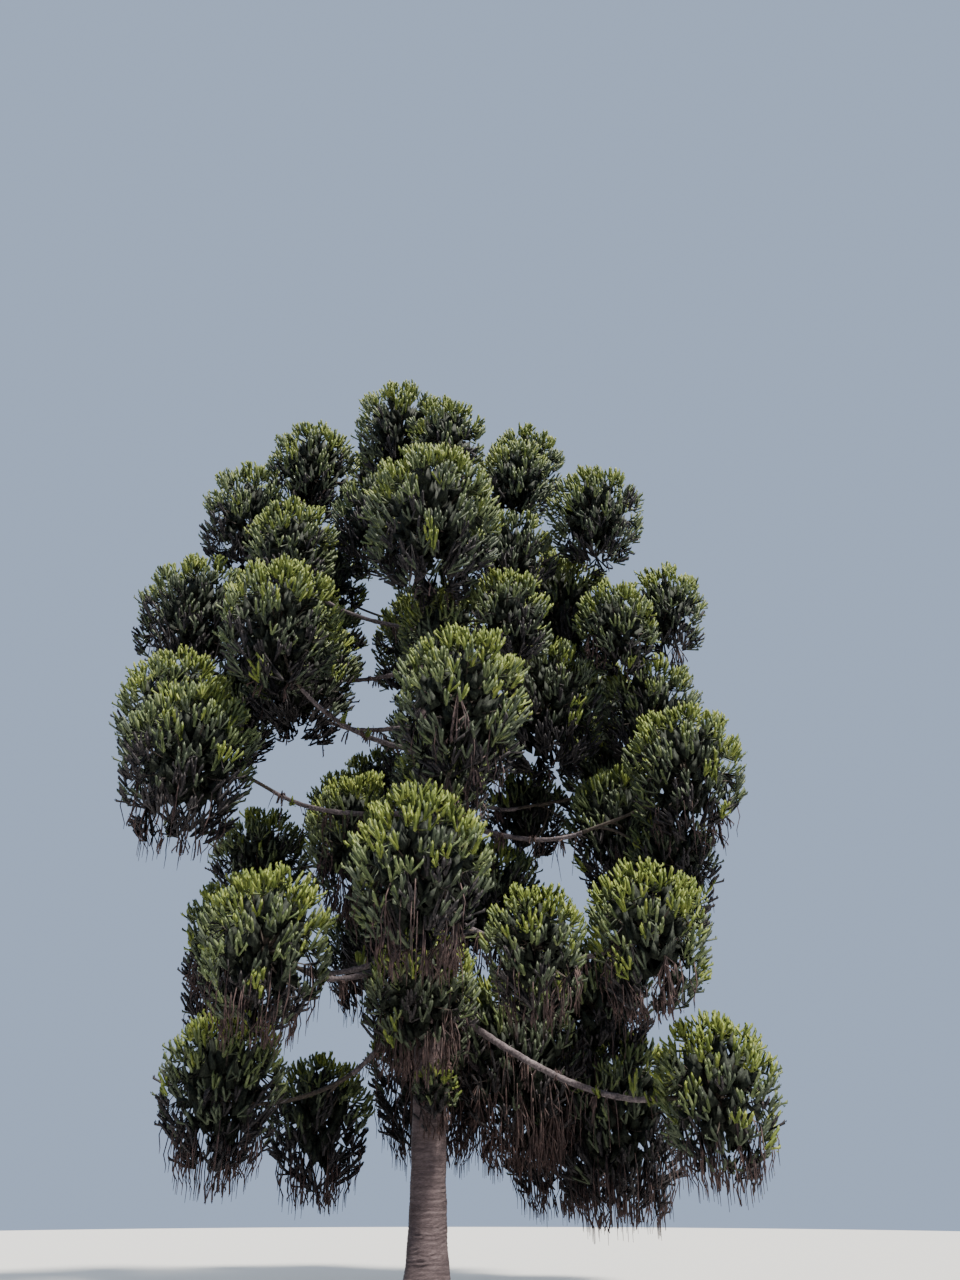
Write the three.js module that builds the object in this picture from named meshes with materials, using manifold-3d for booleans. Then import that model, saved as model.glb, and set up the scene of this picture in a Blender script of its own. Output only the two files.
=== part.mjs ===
// A monkey puzzle tree rooted in level ground: a whole trunk, long bare boughs, and domed tufts of shoots.
// Millimetres, +Z up. The origin is the centre of the flat cut under the trunk, at ground level.
// The tree is seen from -Y, with +X to the right.
// Azimuths are in degrees from +X, counter-clockwise as seen from above.

import * as THREE from 'three';
import { mergeVertices } from 'three/addons/utils/BufferGeometryUtils.js';
import Module from 'manifold-3d';

const wasm = await Module();
wasm.setup();

const seed = 11;
const gap = 0.3; // between pieces that meet
const upward = new THREE.Vector3(0, 0, 1);

// Trunk
const trunkHeight = 18100;
const trunkTipRadius = 42;
const trunkTaperRadius = 305; // what the taper takes away between the foot and the tip
const trunkTaperPower = 0.75;
const flareRadius = 120;
const flareHeight = 520;
const fluteCount = 5;
const fluteDepth = 0.07;
const fluteTurn = 0.6;
const trunkLean = -820; // sideways shift of the tip
const trunkSides = 14;
const trunkRings = 22;
const ringPacking = 1.7; // above 1, the rings crowd towards the foot

// Boughs
const boughSides = 5;
const boughRings = 4; // evenly spaced, after the collar
const lowBoughRadius = 80;
const highBoughRadius = 52;
const boughToTrunk = 0.62; // the most that a bough's root measures against the trunk there
const boughTaper = 0.6;
const collarSwell = 1.35;
const collarLength = 200;
const rootDip = 0.2; // slope lost at the root, against the straight line to the tuft
const endLift = 0.5; // slope gained at the end
const steepestEnd = 1.2;
const sway = 0.05; // sideways wander, as a part of the bough's run
const rootHandle = 0.35; // how far the curve holds its root's slope, as a part of the run
const endHandle = 0.3;
const forkPlace = 0.74; // of the way to several tufts, where their bough ends in a fork
// Where a drooping bough enters its tuft, and where a level or rising one does, in half widths and drops
const sideEntry = { inward: 0.88, below: 0.14 };
const underEntry = { inward: 0.5, below: 0.68 };
const droopSlope = -0.4; // at this slope and below, a bough enters at the side
const levelSlope = 0.2;

// Tufts
const crownRise = 1.05; // height above the widest level, as a part of the half width
const skirtDrop = 1.55; // depth below the widest level
const coreSize = 0.82; // dense heart, as a part of the tuft
const coreFoot = 0.66; // the heart's lower half, which leaves the twigs bare under it
const coreKnobs = 0.07;
const coreSides = 6;
const coreLevels = 4;
const sprayDensity = 4.5; // sprays on a tuft of the typical half width
const typicalHalfWidth = 1100;
const lowestSpray = -0.76; // as a sine, from the tuft's centre
const firstSpray = 0.3; // how near the tuft's very top the first spray is
const outerSpray = 2; // the one that points away from the tree's axis, as far as the tuft reaches
const twigLevel = -0.3; // below this, a spray hangs on a bare twig
const sprayWidth = 0.27;
const sprayMiddle = 0.19; // from the spray's tip back to its leafy points
const sprayRoot = 0.45; // how far out of the heart's middle the root is, on the way to those points
const rootWidth = 0.25; // of the spray's width
const outwardGrowth = 0.8;
const middleLift = 0.5; // how far the sprays point up at the tuft's widest level
const liftByLevel = 0.9; // and how much more at its top
const hubDrop = 0.3; // where the hanging twigs start, under the tuft's centre
const shortestReach = 0.91;
const spaceMargin = 6;
const limbClearance = 12;
const endClearance = 0.2; // from a bough's end to the heart round it, less than the gap that its stem leaves
const stemStations = [0, 0.2, 0.6, 1];
const forkSpacing = 0.4; // from fork to fork, as a part of the first stem's first stretch
const forkTaper = 0.8;
const stemTaper = 0.7;
const twigRadius = 26;
const trunkSampleCount = 200;
const goldenAngle = Math.PI * (3 - Math.sqrt(5));

// Each row is one bough with its tufts. foot is the bough's height on the trunk.
// A tuft is its azimuth, its reach from the tree's axis, the height of its widest level, and its half width.
const rows = [
  { name: 'lowest_front_right', foot: 5000, tufts: [[-32, 5600, 3200, 1050]] },
  { name: 'lowest_left', foot: 5300, tufts: [[-156, 3900, 3400, 1150], [162, 2300, 3000, 1050]] },
  {
    name: 'lowest_right',
    foot: 4600,
    tufts: [
      [14, 3700, 3200, 1450], [50, 4100, 3400, 1450], [11, 3300, 5100, 1200],
      [15, 1800, 4200, 1500],
    ],
  },
  { name: 'low_front_left', foot: 6000, tufts: [[-127, 4400, 5400, 1150]] },
  {
    name: 'low_front',
    foot: 6200,
    tufts: [[-90, 5500, 6100, 1150], [-64, 4200, 5300, 900], [-96, 1500, 4900, 1100]],
  },
  { name: 'low_front_right', foot: 6750, tufts: [[-42, 5100, 5600, 1100]] },
  {
    name: 'low_back',
    foot: 5700,
    tufts: [
      [88, 5100, 5000, 1300], [58, 4700, 6100, 1150], [112, 4900, 7000, 1150],
      [90, 2400, 4400, 1550],
    ],
  },
  { name: 'low_back_left', foot: 6100, tufts: [[150, 5300, 6100, 1250], [-170, 4000, 6200, 1000]] },
  {
    name: 'mid_front_right',
    foot: 8800,
    tufts: [[-20, 5400, 9200, 1250], [-14, 4950, 7500, 950], [0, 4000, 8600, 1250]],
  },
  {
    name: 'mid_back_left',
    foot: 8000,
    tufts: [
      [150, 5000, 8600, 1200], [130, 3600, 9800, 1100], [170, 1700, 8500, 1300],
      [110, 2400, 7200, 1400],
    ],
  },
  { name: 'mid_left', foot: 8800, tufts: [[-170, 5800, 10900, 1300], [-147, 5500, 9000, 1350]] },
  { name: 'mid_front', foot: 8600, tufts: [[-83, 5000, 9200, 1250], [-85, 2200, 8700, 1000]] },
  {
    name: 'mid_right',
    foot: 9600,
    tufts: [
      [25, 4500, 10600, 1300], [52, 3300, 9900, 1080], [30, 5500, 7700, 1200],
      [50, 1700, 7300, 1330],
    ],
  },
  { name: 'mid_back', foot: 8700, tufts: [[90, 5200, 9300, 1400], [111, 5400, 11300, 1150]] },
  { name: 'upper_front_left', foot: 10200, tufts: [[-134, 4500, 11800, 1300]] },
  {
    name: 'upper_right',
    foot: 11400,
    tufts: [
      [-16, 4200, 12900, 1000], [0, 5450, 14100, 1050], [-10, 2400, 11400, 1450],
      [0, 4800, 11400, 1250],
    ],
  },
  { name: 'upper_back_left', foot: 10900, tufts: [[157, 5800, 12600, 1300], [150, 4000, 14200, 1450]] },
  { name: 'upper_back', foot: 11800, tufts: [[84, 4800, 13000, 1350], [90, 2400, 11400, 1550]] },
  { name: 'upper_back_right', foot: 11200, tufts: [[42, 5100, 13300, 1300]] },
  { name: 'upper_left', foot: 12400, tufts: [[175, 6100, 14200, 1550], [-170, 3200, 12100, 1350]] },
  {
    name: 'high_front',
    foot: 12300,
    tufts: [[-91, 4000, 13900, 1500], [-60, 3000, 12300, 1000], [-86, 2300, 12000, 1000]],
  },
  { name: 'high_front_left', foot: 13400, tufts: [[-157, 3800, 14900, 1100]] },
  { name: 'high_front_right', foot: 14200, tufts: [[-15, 3900, 16200, 1200], [-20, 1700, 15200, 1250]] },
  {
    name: 'high_back_left',
    foot: 14400,
    tufts: [[141, 4400, 16900, 1250], [100, 3300, 15600, 1200], [110, 1700, 14000, 1300]],
  },
  { name: 'high_back_right', foot: 14800, tufts: [[48, 3700, 16400, 1300], [20, 3200, 14800, 1450]] },
  {
    name: 'high_left',
    foot: 15300,
    tufts: [[173, 5100, 17300, 1450], [174, 3600, 18700, 1300], [-160, 1800, 16300, 1150]],
  },
  { name: 'top_front', foot: 16900, tufts: [[-88, 1500, 18200, 1050], [-24, 2000, 17400, 1050]] },
  {
    name: 'top_right',
    foot: 17300,
    tufts: [[10, 2200, 18900, 1100], [85, 2100, 18400, 1150], [140, 2400, 19000, 1300]],
  },
  { name: 'leader', onTrunkTip: true, tufts: [[-147, 1400, 19200, 1250]] },
  { name: 'trunk_sprout', onTrunkSide: true, foot: 3050, tufts: [[-80, 640, 3300, 470]] },
];

const barkFinish = new THREE.MeshStandardMaterial({ color: 0x75666a, roughness: 0.95, metalness: 0 });
const boughFinish = new THREE.MeshStandardMaterial({ color: 0x5c5156, roughness: 0.95, metalness: 0 });
const tuftFinish = new THREE.MeshStandardMaterial({ color: 0x4d5a34, roughness: 0.8, metalness: 0 });

function makeRandom(start) {
  let state = start >>> 0;
  return () => {
    state = (state + 0x6d2b79f5) >>> 0;
    let mixed = Math.imul(state ^ (state >>> 15), state | 1);
    mixed ^= mixed + Math.imul(mixed ^ (mixed >>> 7), mixed | 61);
    return ((mixed ^ (mixed >>> 14)) >>> 0) / 4294967296;
  };
}

function blend(from, to, part) {
  return from + (to - from) * part;
}

function clamp(value, low, high) {
  return Math.min(high, Math.max(low, value));
}

// Solids: corners and faces in the tree's frame, moved to a piece's own origin to keep their precision

function solidFrom({ corners, faces }, origin) {
  const vertProperties = new Float32Array(corners.length * 3);
  corners.forEach((corner, index) => {
    vertProperties.set([corner.x - origin.x, corner.y - origin.y, corner.z - origin.z], index * 3);
  });
  const triVerts = new Uint32Array(faces.flat());
  return new wasm.Manifold(new wasm.Mesh({ numProp: 3, vertProperties, triVerts }));
}

// The largest body of a solid. Loose scraps and the skins of sealed hollows are left behind.
function largestBody(solid) {
  const bodies = solid.decompose();
  return bodies.reduce((best, body) => (body.volume() > best.volume() ? body : best));
}

function meshFrom(solid, name, material, origin) {
  const { vertProperties, triVerts } = largestBody(solid).getMesh();
  const geometry = new THREE.BufferGeometry();
  geometry.setAttribute('position', new THREE.BufferAttribute(vertProperties, 3));
  geometry.setIndex(new THREE.BufferAttribute(triVerts, 1));
  geometry.computeVertexNormals();
  const mesh = new THREE.Mesh(geometry, material);
  mesh.name = name;
  mesh.position.copy(origin);
  return mesh;
}

// Limbs: rings of corners that stand square to a curve, and a flat face at each end

function framesAlong(curve, stations, firstNormal) {
  const normal = firstNormal.clone();
  return stations.map((station) => {
    const tangent = curve.getTangentAt(station);
    normal.addScaledVector(tangent, -normal.dot(tangent)).normalize();
    return { centre: curve.getPointAt(station), tangent, normal: normal.clone() };
  });
}

function limbShape(frames, radii, sides, swellAt = () => 1) {
  const corners = [];
  const faces = [];
  frames.forEach(({ centre, tangent, normal }, ring) => {
    const side = new THREE.Vector3().crossVectors(tangent, normal);
    for (let corner = 0; corner < sides; corner += 1) {
      const angle = (corner / sides) * 2 * Math.PI;
      const radius = radii[ring] * swellAt(angle, centre.z);
      corners.push(
        centre.clone()
          .addScaledVector(normal, radius * Math.cos(angle))
          .addScaledVector(side, radius * Math.sin(angle)),
      );
    }
  });
  const last = (frames.length - 1) * sides;
  for (let corner = 0; corner < sides; corner += 1) {
    const next = (corner + 1) % sides;
    for (let base = 0; base < last; base += sides) {
      faces.push([base + corner, base + next, base + sides + next]);
      faces.push([base + corner, base + sides + next, base + sides + corner]);
    }
    if (corner > 0 && corner < sides - 1) {
      faces.push([0, corner + 1, corner]);
      faces.push([last, last + corner, last + corner + 1]);
    }
  }
  return { corners, faces };
}

// Places along a limb with their radii, for keeping foliage off it
function samplesAlong(curve, radiusAt, spacing = 50) {
  const count = Math.ceil(curve.getLength() / spacing);
  return Array.from({ length: count + 1 }, (unused, index) => {
    const station = index / count;
    return { centre: curve.getPointAt(station), radius: radiusAt(station) };
  });
}

// Trunk

function trunkCentre(height) {
  return new THREE.Vector3(trunkLean * (height / trunkHeight) ** 2, 0, height);
}

function trunkRadius(height) {
  const taper = trunkTaperRadius * (1 - height / trunkHeight) ** trunkTaperPower;
  return trunkTipRadius + taper + flareRadius * Math.exp(-height / flareHeight);
}

function trunkShape(skin) {
  const heights = Array.from({ length: trunkRings }, (unused, ring) => (
    trunkHeight * (ring / (trunkRings - 1)) ** ringPacking
  ));
  const frames = heights.map((height) => ({
    centre: trunkCentre(height),
    tangent: upward,
    normal: new THREE.Vector3(1, 0, 0),
  }));
  const flute = (angle, height) => (
    1 + fluteDepth * Math.exp(-height / flareHeight) * Math.cos(fluteCount * angle + fluteTurn)
  );
  return limbShape(frames, heights.map((height) => trunkRadius(height) + skin), trunkSides, flute);
}

// Tufts and their spaces

const tufts = rows.flatMap((row) => row.tufts.map(([azimuth, reach, height, halfWidth], order) => {
  const turn = THREE.MathUtils.degToRad(azimuth);
  const centre = new THREE.Vector3(reach * Math.cos(turn), reach * Math.sin(turn), height);
  return { row, order, centre, halfWidth };
}));

function tuftsOf(row) {
  return tufts.filter((tuft) => tuft.row === row);
}

function verticalReach(tuft, direction) {
  return tuft.halfWidth * (direction.z > 0 ? crownRise : skirtDrop);
}

function reachAlong(tuft, direction) {
  const level = Math.hypot(direction.x, direction.y) / tuft.halfWidth;
  return 1 / Math.hypot(level, direction.z / verticalReach(tuft, direction));
}

function pointOn(tuft, direction, scale) {
  return new THREE.Vector3(
    direction.x * tuft.halfWidth * scale,
    direction.y * tuft.halfWidth * scale,
    direction.z * verticalReach(tuft, direction) * scale,
  ).add(tuft.centre);
}

// The flat boundaries between a tuft's space and those of the other boughs' tufts
for (const tuft of tufts) {
  tuft.boundaries = tufts.filter((other) => other.row !== tuft.row).map((other) => {
    const normal = other.centre.clone().sub(tuft.centre);
    const spacing = normal.length();
    normal.normalize();
    const own = reachAlong(tuft, normal);
    const theirs = reachAlong(other, normal.clone().negate());
    return { normal, distance: (spacing * own) / (own + theirs) - spaceMargin };
  });
}

function keepsToSpace(tuft, balls) {
  return balls.every(({ centre, radius }) => {
    const offset = centre.clone().sub(tuft.centre);
    return tuft.boundaries.every(({ normal, distance }) => offset.dot(normal) + radius < distance);
  });
}

// Boughs: each runs from the middle of the trunk to its tuft's inner edge, or to the fork before two tufts

function entryPoint(tuft, foot) {
  const outward = tuft.centre.clone().setZ(0);
  const slope = (tuft.centre.z - tuft.halfWidth / 2 - foot) / outward.length();
  const under = clamp((slope - droopSlope) / (levelSlope - droopSlope), 0, 1);
  const inward = blend(sideEntry.inward, underEntry.inward, under) * tuft.halfWidth;
  const below = blend(sideEntry.below, underEntry.below, under) * tuft.halfWidth * skirtDrop;
  return tuft.centre.clone()
    .addScaledVector(outward.normalize(), -inward)
    .addScaledVector(upward, -below);
}

function boughEnd(row, start) {
  const entries = tuftsOf(row).map((tuft) => entryPoint(tuft, row.foot));
  if (entries.length === 1) return entries[0];
  const between = entries[0].clone().add(entries[1]).multiplyScalar(0.5);
  return start.clone().lerp(between, forkPlace);
}

function boughCurve(row, random) {
  const start = trunkCentre(row.foot);
  const end = boughEnd(row, start);
  const run = end.clone().sub(start).setZ(0);
  const slope = (end.z - start.z) / run.length();
  const across = new THREE.Vector3().crossVectors(upward, run);
  const wander = (random() - 0.5) * 2 * sway;
  const climbAtRoot = (slope - rootDip) * run.length();
  const climbAtEnd = Math.min(slope + endLift, steepestEnd) * run.length();
  const nearRoot = start.clone()
    .addScaledVector(run, rootHandle)
    .addScaledVector(upward, rootHandle * climbAtRoot)
    .addScaledVector(across, wander);
  const nearEnd = end.clone()
    .addScaledVector(run, -endHandle)
    .addScaledVector(upward, -endHandle * climbAtEnd)
    .addScaledVector(across, wander / 2);
  return new THREE.CubicBezierCurve3(start, nearRoot, nearEnd, end);
}

function boughRadii(row) {
  const wanted = blend(lowBoughRadius, highBoughRadius, row.foot / trunkHeight);
  const root = Math.min(wanted, boughToTrunk * trunkRadius(row.foot));
  return { root, tip: root * boughTaper };
}

// A bough's rings: in the middle of the trunk, at the trunk's bark, and evenly from the collar to the end
function boughStations(bough) {
  const length = bough.curve.getLength();
  const surface = trunkRadius(bough.row.foot) / length;
  const collarEnd = surface + collarLength / length;
  const even = Array.from({ length: boughRings }, (unused, ring) => (
    blend(collarEnd, 1, ring / (boughRings - 1))
  ));
  return [0, surface, ...even];
}

function boughFrames(bough) {
  return framesAlong(bough.curve, boughStations(bough), upward);
}

// With a skin, it is the space that a bough takes, which foliage keeps out of
function boughShape(bough, skin) {
  const frames = boughFrames(bough);
  const radii = boughStations(bough).map((station, ring) => (
    blend(bough.root, bough.tip, station) * (ring < 2 ? collarSwell : 1) + skin
  ));
  const end = frames.at(-1);
  if (skin > 0) end.centre.addScaledVector(end.tangent, endClearance);
  return limbShape(frames, radii, boughSides);
}

const trunkSamples = Array.from({ length: trunkSampleCount }, (unused, index) => {
  const height = (trunkHeight * index) / (trunkSampleCount - 1);
  return { centre: trunkCentre(height), radius: trunkRadius(height) };
});

const rowRandoms = new Map(rows.map((row, index) => [row, makeRandom(seed + 101 * index)]));

const boughs = rows.filter((row) => !row.onTrunkTip && !row.onTrunkSide).map((row) => {
  const curve = boughCurve(row, rowRandoms.get(row));
  const { root, tip } = boughRadii(row);
  const samples = samplesAlong(curve, (station) => blend(root, tip, station));
  return { row, curve, root, tip, samples };
});

// Stems: what a tuft's twigs and sprays grow from. A stem starts just clear of its bough's end or the trunk.

function stemStart(row) {
  if (row.onTrunkTip) {
    const centre = trunkCentre(trunkHeight + gap);
    return { centre, tangent: upward, normal: new THREE.Vector3(1, 0, 0), radius: trunkTipRadius };
  }
  if (row.onTrunkSide) {
    const centre = trunkCentre(row.foot);
    const turn = THREE.MathUtils.degToRad(row.tufts[0][0]);
    const tangent = new THREE.Vector3(Math.cos(turn), Math.sin(turn), 0);
    return { centre, tangent, normal: upward, radius: twigRadius * 2 };
  }
  const bough = boughs.find((candidate) => candidate.row === row);
  const { centre, tangent, normal } = boughFrames(bough).at(-1);
  return { centre: centre.clone().addScaledVector(tangent, gap), tangent, normal, radius: bough.tip };
}

function stemsOf(row) {
  const start = stemStart(row);
  const stems = [];
  for (const tuft of tuftsOf(row)) {
    const fork = start.centre.clone();
    if (tuft.order > 0) fork.lerp(stems[0].curve.getPointAt(stemStations[1]), forkSpacing * tuft.order);
    const span = tuft.centre.distanceTo(fork);
    const curve = new THREE.CubicBezierCurve3(
      fork,
      fork.clone().addScaledVector(start.tangent, span * rootHandle),
      tuft.centre.clone().addScaledVector(upward, -span * endHandle),
      tuft.centre,
    );
    const root = start.radius * forkTaper ** tuft.order;
    const radiusAt = (station) => root * blend(1, stemTaper, station);
    stems.push({ row, tuft, curve, radiusAt, normal: start.normal, samples: samplesAlong(curve, radiusAt) });
  }
  return stems;
}

function stemShape(stem, skin) {
  const frames = framesAlong(stem.curve, stemStations, stem.normal);
  return limbShape(frames, stemStations.map((station) => stem.radiusAt(station) + skin), boughSides);
}

const stems = rows.flatMap(stemsOf);

// Foliage is kept off the trunk, every bough and the other tufts' stems
function clearOfLimbs(row, balls) {
  const groups = [
    trunkSamples,
    ...boughs.map((bough) => bough.samples),
    ...stems.filter((stem) => stem.row !== row).map((stem) => stem.samples),
  ];
  return groups.every((samples) => samples.every((sample) => balls.every((ball) => (
    ball.centre.distanceTo(sample.centre) > ball.radius + sample.radius + limbClearance
  ))));
}

// A tuft's dense, knobbly heart
function coreShape(tuft, random) {
  const ball = new THREE.SphereGeometry(1, coreSides, coreLevels).rotateX(Math.PI / 2);
  ball.deleteAttribute('normal');
  ball.deleteAttribute('uv');
  const merged = mergeVertices(ball, 1e-4);
  const nearest = tuft.boundaries.reduce((least, { normal, distance }) => {
    const support = Math.hypot(
      normal.x * tuft.halfWidth,
      normal.y * tuft.halfWidth,
      normal.z * verticalReach(tuft, normal),
    );
    return Math.min(least, distance / support);
  }, 1);
  const size = Math.min(coreSize, nearest / (1 + coreKnobs) - 0.01);
  const corners = [];
  for (let index = 0; index < merged.attributes.position.count; index += 1) {
    const direction = new THREE.Vector3().fromBufferAttribute(merged.attributes.position, index);
    const knob = 1 + (random() * 2 - 1) * coreKnobs;
    const level = direction.z > 0 ? size : blend(size, coreFoot * (size / coreSize), -direction.z);
    corners.push(pointOn(tuft, direction, level * knob));
  }
  const faces = [];
  for (let first = 0; first < merged.index.count; first += 3) {
    faces.push([0, 1, 2].map((corner) => merged.index.getX(first + corner)));
  }
  return { corners, faces };
}

// A spray of shoots: a slender root or bare twig, three leafy points round its middle, and one tip
function sprayShape({ root, rootRadius, middle, tip, width, turn }) {
  const axis = tip.clone().sub(root).normalize();
  const across = Math.abs(axis.z) < 0.9 ? upward : new THREE.Vector3(1, 0, 0);
  const first = new THREE.Vector3().crossVectors(axis, across).normalize();
  const second = new THREE.Vector3().crossVectors(axis, first);
  const ring = (centre, radius, twist) => [0, 1, 2].map((corner) => {
    const angle = twist + (corner * 2 * Math.PI) / 3;
    return centre.clone()
      .addScaledVector(first, radius * Math.cos(angle))
      .addScaledVector(second, radius * Math.sin(angle));
  });
  const corners = [...ring(root, rootRadius, turn), ...ring(middle, width, turn + Math.PI / 3), tip];
  const faces = [[0, 2, 1]];
  for (let corner = 0; corner < 3; corner += 1) {
    const next = (corner + 1) % 3;
    faces.push([corner, next, 3 + corner]);
    faces.push([next, 3 + next, 3 + corner]);
    faces.push([3 + corner, 3 + next, 6]);
  }
  return { corners, faces };
}

// Where the sprays of a tuft stand: spread evenly by the golden angle, from its top down, and bent upwards
function spraysOf(tuft, random) {
  const count = Math.round((sprayDensity * tuft.halfWidth) / typicalHalfWidth);
  const phase = Math.atan2(tuft.centre.y, tuft.centre.x) - outerSpray * goldenAngle;
  return Array.from({ length: count }, (unused, order) => {
    const level = blend(1, lowestSpray, (order + firstSpray) / count);
    const azimuth = phase + order * goldenAngle;
    const flat = Math.sqrt(1 - level * level);
    const direction = new THREE.Vector3(flat * Math.cos(azimuth), flat * Math.sin(azimuth), level);
    const reach = order === 0 || order === outerSpray ? 1 : blend(shortestReach, 1, random());
    const growth = direction.clone().multiplyScalar(outwardGrowth);
    growth.setZ(middleLift + liftByLevel * level).normalize();
    const tip = pointOn(tuft, direction, reach);
    const middle = tip.clone().addScaledVector(growth, -sprayMiddle * tuft.halfWidth);
    const width = sprayWidth * tuft.halfWidth;
    const turn = random() * Math.PI;
    if (level < twigLevel) {
      const hub = tuft.centre.clone().addScaledVector(upward, -hubDrop * tuft.halfWidth);
      return { root: hub, rootRadius: twigRadius, middle, tip, width, turn };
    }
    const root = tuft.centre.clone().lerp(middle, sprayRoot);
    return { root, rootRadius: width * rootWidth, middle, tip, width, turn };
  });
}

function ballsOf({ root, rootRadius, middle, tip, width }) {
  return [
    { centre: root.clone().lerp(middle, 0.5), radius: (rootRadius + width) / 2 },
    { centre: middle, radius: width },
    { centre: middle.clone().lerp(tip, 0.5), radius: width * 0.5 },
    { centre: tip, radius: 1 },
  ];
}

// The trunk's outside, grown by the gap, which cuts every bough's root and keeps foliage off the trunk
function trunkCutter(origin) {
  return solidFrom(trunkShape(gap), origin);
}

function growBough(bough) {
  const origin = bough.curve.getPointAt(0);
  const solid = solidFrom(boughShape(bough, 0), origin).subtract(trunkCutter(origin));
  return meshFrom(solid, `bough_${bough.row.name}`, boughFinish, origin);
}

function growTuft(row) {
  const random = rowRandoms.get(row);
  const own = stems.filter((stem) => stem.row === row);
  const origin = own[0].tuft.centre;
  let solid = null;
  const join = (shape) => {
    const piece = solidFrom(shape, origin);
    solid = solid ? solid.add(piece) : piece;
  };
  for (const stem of own) {
    join(stemShape(stem, 0));
    join(coreShape(stem.tuft, random));
    for (const spray of spraysOf(stem.tuft, random)) {
      const balls = ballsOf(spray);
      if (keepsToSpace(stem.tuft, balls) && clearOfLimbs(row, balls)) {
        join(sprayShape(spray));
      }
    }
  }
  const others = stems.filter((stem) => stem.row !== row);
  const cutters = [
    ...boughs.map((bough) => boughShape(bough, limbClearance / 2)),
    ...others.map((stem) => stemShape(stem, limbClearance / 2)),
  ];
  solid = solid.subtract(trunkCutter(origin));
  for (const cutter of cutters) {
    solid = solid.subtract(solidFrom(cutter, origin));
  }
  return meshFrom(solid, `tuft_${row.name}`, tuftFinish, origin);
}

const tree = new THREE.Group();
const limbs = new THREE.Group();
const foliage = new THREE.Group();
const foot = new THREE.Vector3(0, 0, 0);
limbs.add(meshFrom(solidFrom(trunkShape(0), foot), 'trunk', barkFinish, foot));
for (const bough of boughs) {
  limbs.add(growBough(bough));
}
for (const row of rows) {
  foliage.add(growTuft(row));
}
tree.add(limbs, foliage);

export default tree;
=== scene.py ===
# Monkey puzzle tree: bark, twigs and scaly shoots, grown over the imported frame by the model's own rule

import math

import bpy
import numpy as np
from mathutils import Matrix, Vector


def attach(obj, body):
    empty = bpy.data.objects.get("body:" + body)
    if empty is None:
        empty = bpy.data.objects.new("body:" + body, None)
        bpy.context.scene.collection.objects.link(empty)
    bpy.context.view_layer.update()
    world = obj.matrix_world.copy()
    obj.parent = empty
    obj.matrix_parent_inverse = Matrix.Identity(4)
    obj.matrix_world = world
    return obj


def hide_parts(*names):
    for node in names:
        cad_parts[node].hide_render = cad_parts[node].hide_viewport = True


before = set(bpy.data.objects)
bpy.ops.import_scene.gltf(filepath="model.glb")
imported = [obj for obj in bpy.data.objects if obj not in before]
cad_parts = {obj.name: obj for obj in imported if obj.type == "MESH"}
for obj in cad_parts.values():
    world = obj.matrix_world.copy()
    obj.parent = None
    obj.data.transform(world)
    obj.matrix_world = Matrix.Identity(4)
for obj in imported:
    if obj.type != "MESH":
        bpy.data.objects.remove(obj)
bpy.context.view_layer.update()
print("frame loaded:", len(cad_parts), "nodes")


def addObject(name, data):
    thing = bpy.data.objects.new(name, data)
    bpy.context.scene.collection.objects.link(thing)
    return thing


# Camera and light

viewSettings = {
    "place": (0.93, -20.0, 1.6),
    "tiltUp": 30.0,  # degrees above level
    "focalPixels": 961.0,  # on the picture's long side
    "longSidePixels": 1280.0,
    "sensor": 36.0,
    "farthest": 400.0,
}


def setCamera(settings):
    data = bpy.data.cameras.new("camera")
    data.sensor_width = settings["sensor"]
    data.lens = settings["focalPixels"] / settings["longSidePixels"] * settings["sensor"]
    data.clip_end = settings["farthest"]
    camera = addObject("camera", data)
    camera.location = settings["place"]
    camera.rotation_euler = (math.radians(90.0 + settings["tiltUp"]), 0.0, 0.0)
    bpy.context.scene.camera = camera


lightSettings = {
    "sunStrength": 12.5,
    "sunAngle": 8.0,  # degrees across, for soft edges
    "sunFrom": (0.30, -0.34, 1.0),
    "sunColour": (1.0, 0.95, 0.86),
    "fillStrength": 3.0,  # broad and pale, from the far side
    "fillAngle": 40.0,
    "fillFrom": (-0.45, 0.9, 0.75),
    "fillColour": (0.86, 0.93, 1.0),
    "skyColour": (0.53, 0.67, 0.93),
    "skyStrength": 0.74,
}


def setLight(settings):
    for name in ("sun", "fill"):
        light = bpy.data.lights.new(name, "SUN")
        light.energy = settings[name + "Strength"]
        light.angle = math.radians(settings[name + "Angle"])
        light.color = settings[name + "Colour"]
        lamp = addObject(name, light)
        lamp.rotation_euler = Vector(settings[name + "From"]).to_track_quat("Z", "Y").to_euler()
    world = bpy.data.worlds.new("paleSky")
    world.use_nodes = True
    background = world.node_tree.nodes["Background"]
    background.inputs["Color"].default_value = (*settings["skyColour"], 1.0)
    background.inputs["Strength"].default_value = settings["skyStrength"]
    bpy.context.scene.world = world


setCamera(viewSettings)
setLight(lightSettings)
print("camera and light set")


# The model's rule, in metres: heights, reaches and half widths as in the frame

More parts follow.
